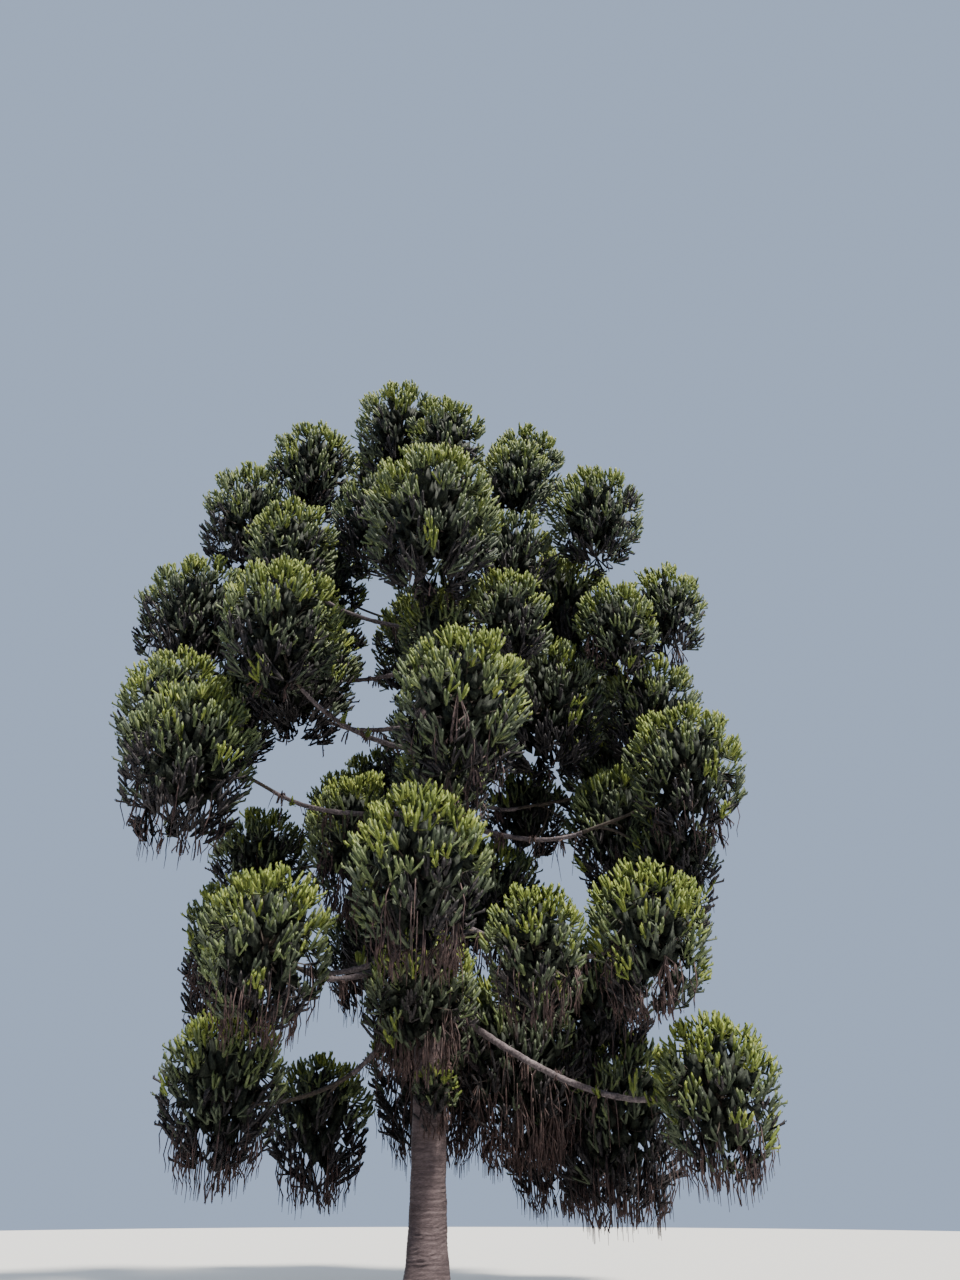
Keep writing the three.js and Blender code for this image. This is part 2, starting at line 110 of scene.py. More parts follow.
rule = {
    "seed": 11,
    "seedStep": 101,  # from bough to bough
    "trunkHeight": 18.1,
    "trunkTip": 0.042,
    "trunkTaper": 0.305,
    "trunkPower": 0.75,
    "flare": 0.12,
    "flareHeight": 0.52,
    "flutes": 5,
    "fluteDepth": 0.07,
    "fluteTurn": 0.6,
    "lean": -0.82,
    "lowBough": 0.08,
    "highBough": 0.052,
    "boughToTrunk": 0.62,
    "boughTaper": 0.6,
    "rootDip": 0.2,
    "endLift": 0.5,
    "steepestEnd": 1.2,
    "sway": 0.05,
    "rootHandle": 0.35,
    "endHandle": 0.3,
    "forkPlace": 0.74,
    "sideEntry": (0.88, 0.14),
    "underEntry": (0.5, 0.68),
    "droopSlope": -0.4,
    "levelSlope": 0.2,
    "crownRise": 1.05,
    "skirtDrop": 1.55,
    "forkTaper": 0.8,
    "stemTaper": 0.7,
    "forkAt": 0.08,  # along the first stem, to each later fork
    "sproutStem": 0.052,
    "sproutSunk": 0.8,  # of the trunk's radius, where it starts
}

# A bough's name, its foot on the trunk, and its tufts: azimuth, reach, height and half width
rows = [
    ("lowest_front_right", 5.0, [(-32, 5.6, 3.2, 1.05)]),
    ("lowest_left", 5.3, [(-156, 3.9, 3.4, 1.15), (162, 2.3, 3.0, 1.05)]),
    ("lowest_right", 4.6, [
        (14, 3.7, 3.2, 1.45), (50, 4.1, 3.4, 1.45), (11, 3.3, 5.1, 1.2), (15, 1.8, 4.2, 1.5),
    ]),
    ("low_front_left", 6.0, [(-127, 4.4, 5.4, 1.15)]),
    ("low_front", 6.2, [(-90, 5.5, 6.1, 1.15), (-64, 4.2, 5.3, 0.9), (-96, 1.5, 4.9, 1.1)]),
    ("low_front_right", 6.75, [(-42, 5.1, 5.6, 1.1)]),
    ("low_back", 5.7, [
        (88, 5.1, 5.0, 1.3), (58, 4.7, 6.1, 1.15), (112, 4.9, 7.0, 1.15), (90, 2.4, 4.4, 1.55),
    ]),
    ("low_back_left", 6.1, [(150, 5.3, 6.1, 1.25), (-170, 4.0, 6.2, 1.0)]),
    ("mid_front_right", 8.8, [(-20, 5.4, 9.2, 1.25), (-14, 4.95, 7.5, 0.95), (0, 4.0, 8.6, 1.25)]),
    ("mid_back_left", 8.0, [
        (150, 5.0, 8.6, 1.2), (130, 3.6, 9.8, 1.1), (170, 1.7, 8.5, 1.3), (110, 2.4, 7.2, 1.4),
    ]),
    ("mid_left", 8.8, [(-170, 5.8, 10.9, 1.3), (-147, 5.5, 9.0, 1.35)]),
    ("mid_front", 8.6, [(-83, 5.0, 9.2, 1.25), (-85, 2.2, 8.7, 1.0)]),
    ("mid_right", 9.6, [
        (25, 4.5, 10.6, 1.3), (52, 3.3, 9.9, 1.08), (30, 5.5, 7.7, 1.2), (50, 1.7, 7.3, 1.33),
    ]),
    ("mid_back", 8.7, [(90, 5.2, 9.3, 1.4), (111, 5.4, 11.3, 1.15)]),
    ("upper_front_left", 10.2, [(-134, 4.5, 11.8, 1.3)]),
    ("upper_right", 11.4, [
        (-16, 4.2, 12.9, 1.0), (0, 5.45, 14.1, 1.05), (-10, 2.4, 11.4, 1.45), (0, 4.8, 11.4, 1.25),
    ]),
    ("upper_back_left", 10.9, [(157, 5.8, 12.6, 1.3), (150, 4.0, 14.2, 1.45)]),
    ("upper_back", 11.8, [(84, 4.8, 13.0, 1.35), (90, 2.4, 11.4, 1.55)]),
    ("upper_back_right", 11.2, [(42, 5.1, 13.3, 1.3)]),
    ("upper_left", 12.4, [(175, 6.1, 14.2, 1.55), (-170, 3.2, 12.1, 1.35)]),
    ("high_front", 12.3, [(-91, 4.0, 13.9, 1.5), (-60, 3.0, 12.3, 1.0), (-86, 2.3, 12.0, 1.0)]),
    ("high_front_left", 13.4, [(-157, 3.8, 14.9, 1.1)]),
    ("high_front_right", 14.2, [(-15, 3.9, 16.2, 1.2), (-20, 1.7, 15.2, 1.25)]),
    ("high_back_left", 14.4, [(141, 4.4, 16.9, 1.25), (100, 3.3, 15.6, 1.2), (110, 1.7, 14.0, 1.3)]),
    ("high_back_right", 14.8, [(48, 3.7, 16.4, 1.3), (20, 3.2, 14.8, 1.45)]),
    ("high_left", 15.3, [(173, 5.1, 17.3, 1.45), (174, 3.6, 18.7, 1.3), (-160, 1.8, 16.3, 1.15)]),
    ("top_front", 16.9, [(-88, 1.5, 18.2, 1.05), (-24, 2.0, 17.4, 1.05)]),
    ("top_right", 17.3, [(10, 2.2, 18.9, 1.1), (85, 2.1, 18.4, 1.15), (140, 2.4, 19.0, 1.3)]),
    ("leader", None, [(-147, 1.4, 19.2, 1.25)]),
    ("trunk_sprout", 3.05, [(-80, 0.64, 3.3, 0.47)]),
]
levelNames = ["lowest", "low", "mid", "upper", "high", "top", "leader", "trunk"]
upward = np.array([0.0, 0.0, 1.0])
sideways = np.array([1.0, 0.0, 0.0])
fullTurn = 2 * math.pi
goldenAngle = math.pi * (3.0 - math.sqrt(5.0))
leastLength = 1e-9  # under it a vector stays short
curveSamples = 200  # along a limb, to measure it
nearlyAlong = 0.95  # a cosine


def firstDraw(start):
    # the model's generator, of which a bough needs one number
    step = 0x6D2B79F5
    mask = 0xFFFFFFFF
    state = (start + step) & mask
    mixed = ((state ^ (state >> 15)) * (state | 1)) & mask
    mixed ^= (mixed + (((mixed ^ (mixed >> 7)) * (mixed | 61)) & mask)) & mask
    return ((mixed ^ (mixed >> 14)) & mask) / (mask + 1)


def blend(low, high, part):
    return low + (high - low) * part


def unit(vectors):
    return vectors / np.maximum(np.linalg.norm(vectors, axis=-1, keepdims=True), leastLength)


def anglesAround(sides):
    return np.arange(sides) / sides * fullTurn


def levelDirections(turns):
    return np.stack([np.cos(turns), np.sin(turns), np.zeros_like(turns)], axis=-1)


def trunkCentre(height):
    height = np.asarray(height, dtype=float)
    across = rule["lean"] * (height / rule["trunkHeight"]) ** 2
    return np.stack([across, np.zeros_like(height), height], axis=-1)


def trunkRadius(height):
    left = np.clip(1.0 - np.asarray(height) / rule["trunkHeight"], 0.0, 1.0)
    taper = rule["trunkTaper"] * left ** rule["trunkPower"]
    return rule["trunkTip"] + taper + rule["flare"] * np.exp(-height / rule["flareHeight"])


def bezier(handles, stations):
    stations = np.asarray(stations)[:, None]
    rest = 1.0 - stations
    a, b, c, d = handles
    return rest**3 * a + 3 * rest**2 * stations * b + 3 * rest * stations**2 * c + stations**3 * d


def samplesAlong(handles):
    fine = bezier(handles, np.linspace(0.0, 1.0, curveSamples))
    return fine, np.concatenate([[0.0], np.cumsum(np.linalg.norm(np.diff(fine, axis=0), axis=1))])


def evenlyAlong(handles, count):
    fine, steps = samplesAlong(handles)
    wanted = np.linspace(0.0, steps[-1], count)
    return np.stack([np.interp(wanted, steps, fine[:, axis]) for axis in range(3)], axis=1)


def lengthOf(handles):
    return samplesAlong(handles)[1][-1]


class Tuft:
    def __init__(self, name, order, values):
        azimuth, reach, height, self.halfWidth = values
        turn = math.radians(azimuth)
        self.name = name
        self.order = order
        self.centre = np.array([reach * math.cos(turn), reach * math.sin(turn), height])

    def spread(self, directions):
        up = np.where(directions[..., 2:] > 0, rule["crownRise"], rule["skirtDrop"])
        return self.halfWidth * np.concatenate([directions[..., :2], directions[..., 2:] * up], axis=-1)

    def pointOn(self, directions, scale):
        return self.centre + self.spread(directions) * scale

    def nearness(self, points):
        # 0 in the tuft's middle and 1 on its outside
        offset = (points - self.centre) / self.halfWidth
        drop = np.where(offset[..., 2] > 0, rule["crownRise"], rule["skirtDrop"])
        return np.sqrt(offset[..., 0] ** 2 + offset[..., 1] ** 2 + (offset[..., 2] / drop) ** 2)


tuftsOf = {
    name: [Tuft(name, order, values) for order, values in enumerate(places)]
    for name, _, places in rows
}
allTufts = [tuft for tufts in tuftsOf.values() for tuft in tufts]


def entryPoint(tuft, foot):
    outward = np.array([tuft.centre[0], tuft.centre[1], 0.0])
    reach = np.linalg.norm(outward)
    slope = (tuft.centre[2] - tuft.halfWidth / 2 - foot) / reach
    span = rule["levelSlope"] - rule["droopSlope"]
    under = min(1.0, max(0.0, (slope - rule["droopSlope"]) / span))
    inward = blend(rule["sideEntry"][0], rule["underEntry"][0], under) * tuft.halfWidth
    below = blend(rule["sideEntry"][1], rule["underEntry"][1], under) * tuft.halfWidth * rule["skirtDrop"]
    return tuft.centre - outward / reach * inward - upward * below


def boughHandles(index, name, foot):
    start = trunkCentre(foot)
    entries = [entryPoint(tuft, foot) for tuft in tuftsOf[name]]
    end = entries[0]
    if len(entries) > 1:
        end = blend(start, (entries[0] + entries[1]) / 2, rule["forkPlace"])
    run = (end - start) * np.array([1.0, 1.0, 0.0])
    level = np.linalg.norm(run)
    slope = (end[2] - start[2]) / level
    across = np.array([-run[1], run[0], 0.0])
    wander = (firstDraw(rule["seed"] + rule["seedStep"] * index) - 0.5) * 2 * rule["sway"]
    rootClimb = (slope - rule["rootDip"]) * level
    endClimb = min(slope + rule["endLift"], rule["steepestEnd"]) * level
    nearRoot = start + rule["rootHandle"] * (run + upward * rootClimb) + across * wander
    nearEnd = end - rule["endHandle"] * (run + upward * endClimb) + across * wander / 2
    return [start, nearRoot, nearEnd, end]


boughs = {}
for index, (name, foot, _) in enumerate(rows):
    if name not in ("leader", "trunk_sprout"):
        rootRadius = min(
            blend(rule["lowBough"], rule["highBough"], foot / rule["trunkHeight"]),
            rule["boughToTrunk"] * float(trunkRadius(foot)),
        )
        boughs[name] = {
            "foot": foot,
            "handles": boughHandles(index, name, foot),
            "root": rootRadius,
            "tip": rootRadius * rule["boughTaper"],
        }


def stemsOf(name, foot):
    if name == "leader":
        start = trunkCentre(rule["trunkHeight"])
        tangent = upward
        radius = rule["trunkTip"]
    elif name == "trunk_sprout":
        outward = tuftsOf[name][0].centre * np.array([1.0, 1.0, 0.0])
        tangent = unit(outward)
        start = trunkCentre(foot) + tangent * float(trunkRadius(foot)) * rule["sproutSunk"]
        radius = rule["sproutStem"]
    else:
        start = boughs[name]["handles"][3]
        tangent = unit(start - boughs[name]["handles"][2])
        radius = boughs[name]["tip"]
    stems = []
    for tuft in tuftsOf[name]:
        fork = start
        if tuft.order > 0:
            fork = bezier(stems[0]["handles"], [rule["forkAt"] * tuft.order])[0]
        span = np.linalg.norm(tuft.centre - fork)
        handles = [
            fork,
            fork + tangent * span * rule["rootHandle"],
            tuft.centre - upward * span * rule["endHandle"],
            tuft.centre,
        ]
        root = radius * rule["forkTaper"] ** tuft.order
        stems.append({"tuft": tuft, "handles": handles, "root": root, "tip": root * rule["stemTaper"]})
    return stems


stemsByRow = {name: stemsOf(name, foot) for name, foot, _ in rows}
print("rule worked out:", len(boughs), "boughs,", len(allTufts), "tufts")


# Mesh making

def ringsAlong(points, firstNormal=upward):
    tangents = unit(np.gradient(points, axis=0))
    normals = np.empty_like(points)
    normal = np.asarray(firstNormal, dtype=float)
    if abs(np.dot(normal, tangents[0])) > nearlyAlong:
        normal = sideways
    for index, tangent in enumerate(tangents):
        normal = normal - tangent * np.dot(normal, tangent)
        normal = normal / np.linalg.norm(normal)
        normals[index] = normal
    return tangents, normals, np.cross(tangents, normals)


def tube(points, radii, sides, firstNormal=upward):
    # radii holds one number, or one for each side, at every ring; the ends are closed by fans
    count = len(points)
    radii = np.broadcast_to(np.asarray(radii).reshape(count, -1), (count, sides))
    _, normals, binormals = ringsAlong(points, firstNormal)
    angles = anglesAround(sides)
    ring = (
        normals[:, None] * np.cos(angles)[None, :, None]
        + binormals[:, None] * np.sin(angles)[None, :, None]
    )
    body = (points[:, None] + ring * radii[:, :, None]).reshape(-1, 3)
    corners = np.concatenate([body, points[:1], points[-1:]])
    base = np.arange(count - 1)[:, None] * sides
    here = np.arange(sides)[None, :]
    after = (here + 1) % sides
    lower = np.stack([base + here, base + after, base + sides + after], -1).reshape(-1, 3)
    upper = np.stack([base + here, base + sides + after, base + sides + here], -1).reshape(-1, 3)
    first, last = count * sides, count * sides + 1
    end = (count - 1) * sides
    start = np.stack([np.full(sides, first), after[0], here[0]], -1)
    finish = np.stack([np.full(sides, last), end + here[0], end + after[0]], -1)
    return corners, np.concatenate([lower, upper, start, finish])


def gather(shapes):
    corners, faces, offset = [], [], 0
    for points, triangles in shapes:
        corners.append(points)
        faces.append(triangles + offset)
        offset += len(points)
    return np.concatenate(corners), np.concatenate(faces)


def addPiece(name, shape, material, smooth, replaced=()):
    corners, faces = shape
    mesh = bpy.data.meshes.new(name)
    mesh.vertices.add(len(corners))
    mesh.vertices.foreach_set("co", corners.astype(np.float32).ravel())
    mesh.loops.add(len(faces) * 3)
    mesh.loops.foreach_set("vertex_index", faces.astype(np.int32).ravel())
    mesh.polygons.add(len(faces))
    mesh.polygons.foreach_set("loop_start", np.arange(len(faces), dtype=np.int32) * 3)
    mesh.polygons.foreach_set("use_smooth", np.full(len(faces), smooth))
    mesh.update(calc_edges=True)
    mesh.validate()
    mesh.materials.append(material)
    piece = addObject(name, mesh)
    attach(piece, "root")
    if replaced:
        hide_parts(*replaced)
    print("piece", name, len(faces), "triangles")


# Materials

def newMaterial(name, roughness, specular):
    material = bpy.data.materials.new(name)
    material.use_nodes = True
    shader = material.node_tree.nodes["Principled BSDF"]
    shader.inputs["Roughness"].default_value = roughness
    shader.inputs["Specular IOR Level"].default_value = specular
    return material, material.node_tree, shader


def addNoise(tree, scale, detail, stretch=(1.0, 1.0, 1.0)):
    place = tree.nodes.new("ShaderNodeTexCoord")
    mapping = tree.nodes.new("ShaderNodeMapping")
    mapping.inputs["Scale"].default_value = stretch
    noise = tree.nodes.new("ShaderNodeTexNoise")
    noise.inputs["Scale"].default_value = scale
    noise.inputs["Detail"].default_value = detail
    tree.links.new(place.outputs["Object"], mapping.inputs["Vector"])
    tree.links.new(mapping.outputs["Vector"], noise.inputs["Vector"])
    return noise.outputs["Fac"]


def addRamp(tree, source, stops, colours):
    ramp = tree.nodes.new("ShaderNodeValToRGB")
    while len(ramp.color_ramp.elements) < len(stops):
        ramp.color_ramp.elements.new(0.5)
    for element, stop, colour in zip(ramp.color_ramp.elements, stops, colours):
        element.position = stop
        element.color = (*colour, 1.0)
    tree.links.new(source, ramp.inputs["Fac"])
    return ramp.outputs["Color"]


def addBump(tree, shader, height, strength, distance):
    bump = tree.nodes.new("ShaderNodeBump")
    bump.inputs["Strength"].default_value = strength
    bump.inputs["Distance"].default_value = distance
    tree.links.new(height, bump.inputs["Height"])
    tree.links.new(bump.outputs["Normal"], shader.inputs["Normal"])


barkSettings = {
    "roughness": 0.9,
    "specular": 0.25,
    "broadNoise": (3.0, 6.0),  # scale and detail
    "fineNoise": (26.0, 8.0),
    "finePart": 0.6,
    "stops": (0.34, 0.5, 0.68),
    "bump": (0.6, 0.012),  # strength and distance
}


def barkMaterial(name, stretch, *colours):
    settings = barkSettings
    material, tree, shader = newMaterial(name, settings["roughness"], settings["specular"])
    broad = addNoise(tree, *settings["broadNoise"], stretch)
    fine = addNoise(tree, *settings["fineNoise"], stretch)
    mix = tree.nodes.new("ShaderNodeMix")
    mix.inputs["Factor"].default_value = settings["finePart"]
    tree.links.new(broad, mix.inputs["A"])
    tree.links.new(fine, mix.inputs["B"])
    colour = addRamp(tree, mix.outputs["Result"], settings["stops"], colours)
    tree.links.new(colour, shader.inputs["Base Color"])
    addBump(tree, shader, fine, *settings["bump"])
    return material


shootSettings = {"specular": 0.25, "detail": 3.0, "stops": (0.32, 0.5, 0.68)}


def shootMaterial(kind, roughness, grain, *colours):
    material, tree, shader = newMaterial(kind + "Shoots", roughness, shootSettings["specular"])
    patches = addNoise(tree, grain, shootSettings["detail"])
    colour = addRamp(tree, patches, shootSettings["stops"], colours)
    tree.links.new(colour, shader.inputs["Base Color"])
    return material


# Of each bark: the stretch of its noise, and its dark, middle and pale colour
barks = {
    "trunkBark": ((0.7, 0.7, 8.0), (0.03, 0.022, 0.024), (0.085, 0.062, 0.065), (0.175, 0.135, 0.136)),
    "boughBark": ((1.0, 1.0, 1.0), (0.03, 0.025, 0.027), (0.085, 0.068, 0.074), (0.20, 0.165, 0.17)),
    "twigBark": ((1.0, 1.0, 1.0), (0.02, 0.017, 0.015), (0.05, 0.04, 0.034), (0.10, 0.08, 0.065)),
}
# Of each kind of shoot: roughness, the scale of its patches, and the same three colours
shootKinds = {
    # fresh: young growth's lime, made brighter as painted sunlight for the tuft tops
    "freshAndLit": (0.6, 9.0, (0.06, 0.085, 0.015), (0.115, 0.148, 0.026), (0.21, 0.235, 0.05)),
    "green": (0.6, 9.0, (0.038, 0.057, 0.02), (0.074, 0.099, 0.037), (0.145, 0.169, 0.071)),
    # grey: glaucous grey-green with painted shade, for the flanks under the green
    "greyAndShaded": (0.65, 9.0, (0.022, 0.031, 0.018), (0.045, 0.058, 0.034), (0.088, 0.106, 0.064)),
    # shade: painted shade for the undersides, with a purple-brown tint
    "shade": (0.75, 32.0, (0.005, 0.005, 0.006), (0.018, 0.016, 0.018), (0.052, 0.042, 0.043)),
    # heart: near black, painted shade for the bare inner cords in each tuft's middle
    "heartShade": (0.8, 32.0, (0.004, 0.006, 0.004), (0.012, 0.016, 0.011), (0.028, 0.036, 0.023)),
    "dead": (0.8, 9.0, (0.022, 0.015, 0.015), (0.05, 0.032, 0.031), (0.105, 0.066, 0.06)),
}
finishes = {name: barkMaterial(name, *values) for name, values in barks.items()}
finishes.update({kind: shootMaterial(kind, *values) for kind, values in shootKinds.items()})
print("materials made")


# Floor

floorSettings = {
    "colour": (0.42, 0.41, 0.39),
    "roughness": 0.9,
    "specular": 0.2,
    "radius": 45.0,
    "sides": 96,
    "below": 0.004,  # the trunk's cut
}


def addFloor(settings):
    rim = levelDirections(anglesAround(settings["sides"])) * settings["radius"]
    mesh = bpy.data.meshes.new("floor")
    mesh.from_pydata(rim.tolist(), [], [list(range(settings["sides"]))])
    material, _, shader = newMaterial("floor", settings["roughness"], settings["specular"])
    shader.inputs["Base Color"].default_value = (*settings["colour"], 1.0)
    mesh.materials.append(material)
    floor = addObject("floor", mesh)
    floor.location = (0.0, 0.0, -settings["below"])


addFloor(floorSettings)
print("floor laid")


# Trunk bark: close rings of wrinkles, old bough scars and a fluted foot

trunkSettings = {
    "sides": 54,
    "ringSpacing": (0.019, 0.12),  # where the trunk shows, and above
    "shownTo": 4.0,
    "wrinkle": 0.058,  # from wrinkle to wrinkle
    "wrinkleDepth": 0.014,
    "wrinklePower": 0.6,  # under 1, for broad ridges and narrow grooves
    "ridgeLevel": 0.7,  # of a ridge's height, where the plain trunk's skin is
    "waver": {"turns": [2, 3, 4, 5, 7], "pitches": [1.7, 0.9, 0.6, 0.43, 0.3], "size": 0.03},
    "patches": {"turns": [3, 5, 8, 9], "pitches": [0.35, 0.22, 0.17, 0.11], "size": 0.3},
    "lumps": {"turns": [2, 3, 5, 6], "pitches": [2.3, 1.1, 0.8, 0.5], "size": 0.006},
    "evenPart": 0.7,  # of the wrinkles' depth, free of patches
    "fullDepthRadius": 0.3,  # a thinner trunk has a shallower relief
    "leastDepth": 0.15,
    "seed": 5,
}
scarSettings = {
    "count": 90,
    "from": 0.6,
    "over": 15.0,
    "crowding": 1.3,  # over 1, for more of them low down
    "size": 0.05,
    "sizes": (0.6, 1.2),
    "aspect": 2.4,
    "rimHeight": 0.009,
    "rimWidth": 0.35,
    "pitDepth": 0.9,
    "pitWidth": 0.6,
}


def ripples(angles, heights, pattern, seed):
    # a smooth pattern that closes round the limb, mostly within its size either way
    random = np.random.default_rng(seed)
    total = np.zeros(np.broadcast(angles, heights).shape)
    for mostTurns, pitch in zip(pattern["turns"], pattern["pitches"]):
        turns = random.integers(0, mostTurns + 1)
        total += np.cos(turns * angles + heights / pitch * fullTurn + random.random() * fullTurn)
    return total / math.sqrt(len(pattern["turns"])) * pattern["size"]


def oldScar(turn, rise, radii, random):
    # a low rim round a shallow pit
    settings = scarSettings
    scarTurn = random.random() * fullTurn
    scarRise = random.random() ** settings["crowding"] * settings["over"] + settings["from"]
    size = settings["size"] * blend(*settings["sizes"], random.random())
    away = np.abs((turn - scarTurn + math.pi) % fullTurn - math.pi) * radii
    distance = np.hypot(away / settings["aspect"], rise - scarRise) / size
    rim = np.exp(-((distance - 1.0) / settings["rimWidth"]) ** 2)
    pit = settings["pitDepth"] * np.exp(-((distance / settings["pitWidth"]) ** 2))
    return (rim - pit) * settings["rimHeight"]


def growTrunk(settings):
    close, wide = settings["ringSpacing"]
    low = np.arange(0.0, settings["shownTo"], close)
    high = np.arange(settings["shownTo"], rule["trunkHeight"], wide)
    heights = np.concatenate([low, high, [rule["trunkHeight"]]])
    turn, rise = np.meshgrid(anglesAround(settings["sides"]), heights)
    radii = trunkRadius(rise) * (
        1 + rule["fluteDepth"] * np.exp(-rise / rule["flareHeight"])
        * np.cos(rule["flutes"] * turn + rule["fluteTurn"])
    )
    waver, patches, lumps = (
        ripples(turn, rise, settings[pattern], settings["seed"] + order)
        for order, pattern in enumerate(("waver", "patches", "lumps"))
    )
    phase = (rise + waver) / settings["wrinkle"]
    ridge = np.abs(np.sin(math.pi * phase)) ** settings["wrinklePower"] - settings["ridgeLevel"]
    fade = np.clip(radii / settings["fullDepthRadius"], settings["leastDepth"], 1.0)
    radii = radii + ridge * settings["wrinkleDepth"] * fade * (settings["evenPart"] + patches)
    radii = radii + lumps * fade
    random = np.random.default_rng(settings["seed"])
    for _ in range(scarSettings["count"]):
        radii = radii + oldScar(turn, rise, radii, random) * fade
    centres = trunkCentre(heights)
    corners = centres[:, None] + levelDirections(turn) * radii[..., None]
    _, faces = tube(centres, radii, settings["sides"])
    return np.concatenate([corners.reshape(-1, 3), centres[:1], centres[-1:]]), faces


addPiece("trunkBark", growTrunk(trunkSettings), finishes["trunkBark"], True, ["trunk"])


# Bough bark: tapering limbs with rings, scales and a collar at the trunk, and the stems inside the tufts

boughSettings = {
    "sides": 9,
    "ringSpacing": 0.035,
    "sunk": 0.72,  # of the trunk's radius, where it starts
    "collarSwell": 0.38,
    "collarLength": 0.13,
    "wrinkle": 0.045,  # from wrinkle to wrinkle
    "wrinkleDepth": 0.0028,
    "wrinklePower": 0.7,
    "waver": {"turns": [1, 2, 3, 4], "pitches": [0.9, 0.5, 0.33, 0.21], "size": 0.02},
    "lumps": {"turns": [1, 2, 2, 3], "pitches": [0.7, 0.4, 0.27, 0.17], "size": 0.004},
    "scalesAround": 4,
    "scaleLength": 0.05,  # for each radian of their pattern
    "scaleDepth": 0.0018,
    "seed": 40,
    "seedStep": 3,  # from bough to bough
}
stubSettings = {
    "perMetre": 4.0,
    "places": 120,  # along the bough
    "firstPlace": 14,
    "sunk": 0.8,  # of the bough's radius
    "length": (0.04, 0.15),
    "part": 0.6,  # of that length, in each of its two parts
    "forward": (0.2, 0.8),
    "sag": 0.3,
    "radius": 0.011,
    "sizes": (0.6, 1.3),
    "taper": (1.0, 0.8, 0.45),
    "sides": 5,
    "seed": 21,
}
stemSettings = {"sides": 6, "spacing": 0.13, "fewestRings": 4}


def growBough(bough, seed):
    settings = boughSettings
    length = lengthOf(bough["handles"])
    count = int(length / settings["ringSpacing"])
    points = evenlyAlong(bough["handles"], count)
    along = np.linspace(0.0, length, count)
    surface = float(trunkRadius(bough["foot"]))
    keep = along > surface * settings["sunk"]
    turn, run = np.meshgrid(anglesAround(settings["sides"]), along[keep])
    pastTrunk = ((run - surface) / settings["collarLength"]).clip(0)
    radii = blend(bough["root"], bough["tip"], run / length)
    radii = radii * (1 + settings["collarSwell"] * np.exp(-pastTrunk))
    waver = ripples(turn, run, settings["waver"], seed)
    ridge = np.abs(np.sin(math.pi * (run + waver) / settings["wrinkle"])) ** settings["wrinklePower"]
    around = settings["scalesAround"] * turn
    forward = run / settings["scaleLength"]
    scales = np.cos(around + forward) * np.cos(around - forward)
    lumps = ripples(turn, run, settings["lumps"], seed + 1)
    radii = radii + ridge * settings["wrinkleDepth"] + scales * settings["scaleDepth"] + lumps
    return tube(points[keep], radii, settings["sides"])


def growStem(stem):
    settings = stemSettings
    count = max(settings["fewestRings"], int(lengthOf(stem["handles"]) / settings["spacing"]))
    points = evenlyAlong(stem["handles"], count)
    return tube(points, np.linspace(stem["root"], stem["tip"], count), settings["sides"])


def growStubs(bough, random):
    settings = stubSettings
    points = evenlyAlong(bough["handles"], settings["places"])
    tangents, normals, binormals = ringsAlong(points)
    shapes = []
    for _ in range(int(lengthOf(bough["handles"]) * settings["perMetre"])):
        place = random.integers(settings["firstPlace"], settings["places"])
        turn = random.random() * fullTurn
        outward = normals[place] * math.cos(turn) + binormals[place] * math.sin(turn)
        reach = blend(*settings["length"], random.random() ** 2)
        radius = blend(bough["root"], bough["tip"], place / (settings["places"] - 1))
        root = points[place] + outward * radius * settings["sunk"]
        bend = outward + tangents[place] * blend(*settings["forward"], random.random())
        bend = bend - upward * settings["sag"] * random.random()
        middle = root + outward * reach * settings["part"]
        end = middle + unit(bend) * reach * settings["part"]
        thick = settings["radius"] * blend(*settings["sizes"], random.random())
        radii = [thick * part for part in settings["taper"]]
        shapes.append(tube(np.array([root, middle, end]), radii, settings["sides"]))
    return shapes


boughShapes = [
    growBough(bough, boughSettings["seed"] + boughSettings["seedStep"] * order)
    for order, bough in enumerate(boughs.values())
]
boughNodes = ["bough_" + name for name in boughs]
addPiece("boughBark", gather(boughShapes), finishes["boughBark"], True, boughNodes)
stubRandom = np.random.default_rng(stubSettings["seed"])
stubShapes = [shape for bough in boughs.values() for shape in growStubs(bough, stubRandom)]
addPiece("boughStubs", gather(stubShapes), finishes["boughBark"], False)
stemShapes = [growStem(stem) for stems in stemsByRow.values() for stem in stems]
addPiece("tuftStems", gather(stemShapes), finishes["twigBark"], True)


# Room for the shoots: a tuft keeps to its side of the planes between tufts, and clear of the limbs

roomSettings = {
    "margin": 0.006,  # from those planes
    "trunkSpacing": 0.1,  # between the trunk's samples
    "boughSamples": 60,
    "search": 0.6,  # round the points that are looked at
    "limbGap": 0.05,
    "tipLimit": 1.04,  # as nearness, 1 on the tuft's outside
    "sideTipLimit": 1.06,
    "otherTuft": 0.78,  # to one of the same bough
}


def boundariesOf(tuft):
    normals, distances = [], []
    for other in allTufts:
        if other.name == tuft.name:
            continue
        offset = other.centre - tuft.centre
        spacing = np.linalg.norm(offset)
        normal = offset / spacing
        own = 1.0 / tuft.nearness(tuft.centre + normal)
        theirs = 1.0 / other.nearness(other.centre - normal)
        normals.append(normal)
        distances.append(spacing * own / (own + theirs) - roomSettings["margin"])
    return np.array(normals), np.array(distances)


def limbPlaces():
    heights = np.arange(0.0, rule["trunkHeight"], roomSettings["trunkSpacing"])
    places = [trunkCentre(heights)]
    radii = [trunkRadius(heights)]
    for bough in boughs.values():
        places.append(evenlyAlong(bough["handles"], roomSettings["boughSamples"]))
        radii.append(np.linspace(bough["root"], bough["tip"], roomSettings["boughSamples"]))
    return np.concatenate(places), np.concatenate(radii)


limbPoints, limbRadii = limbPlaces()


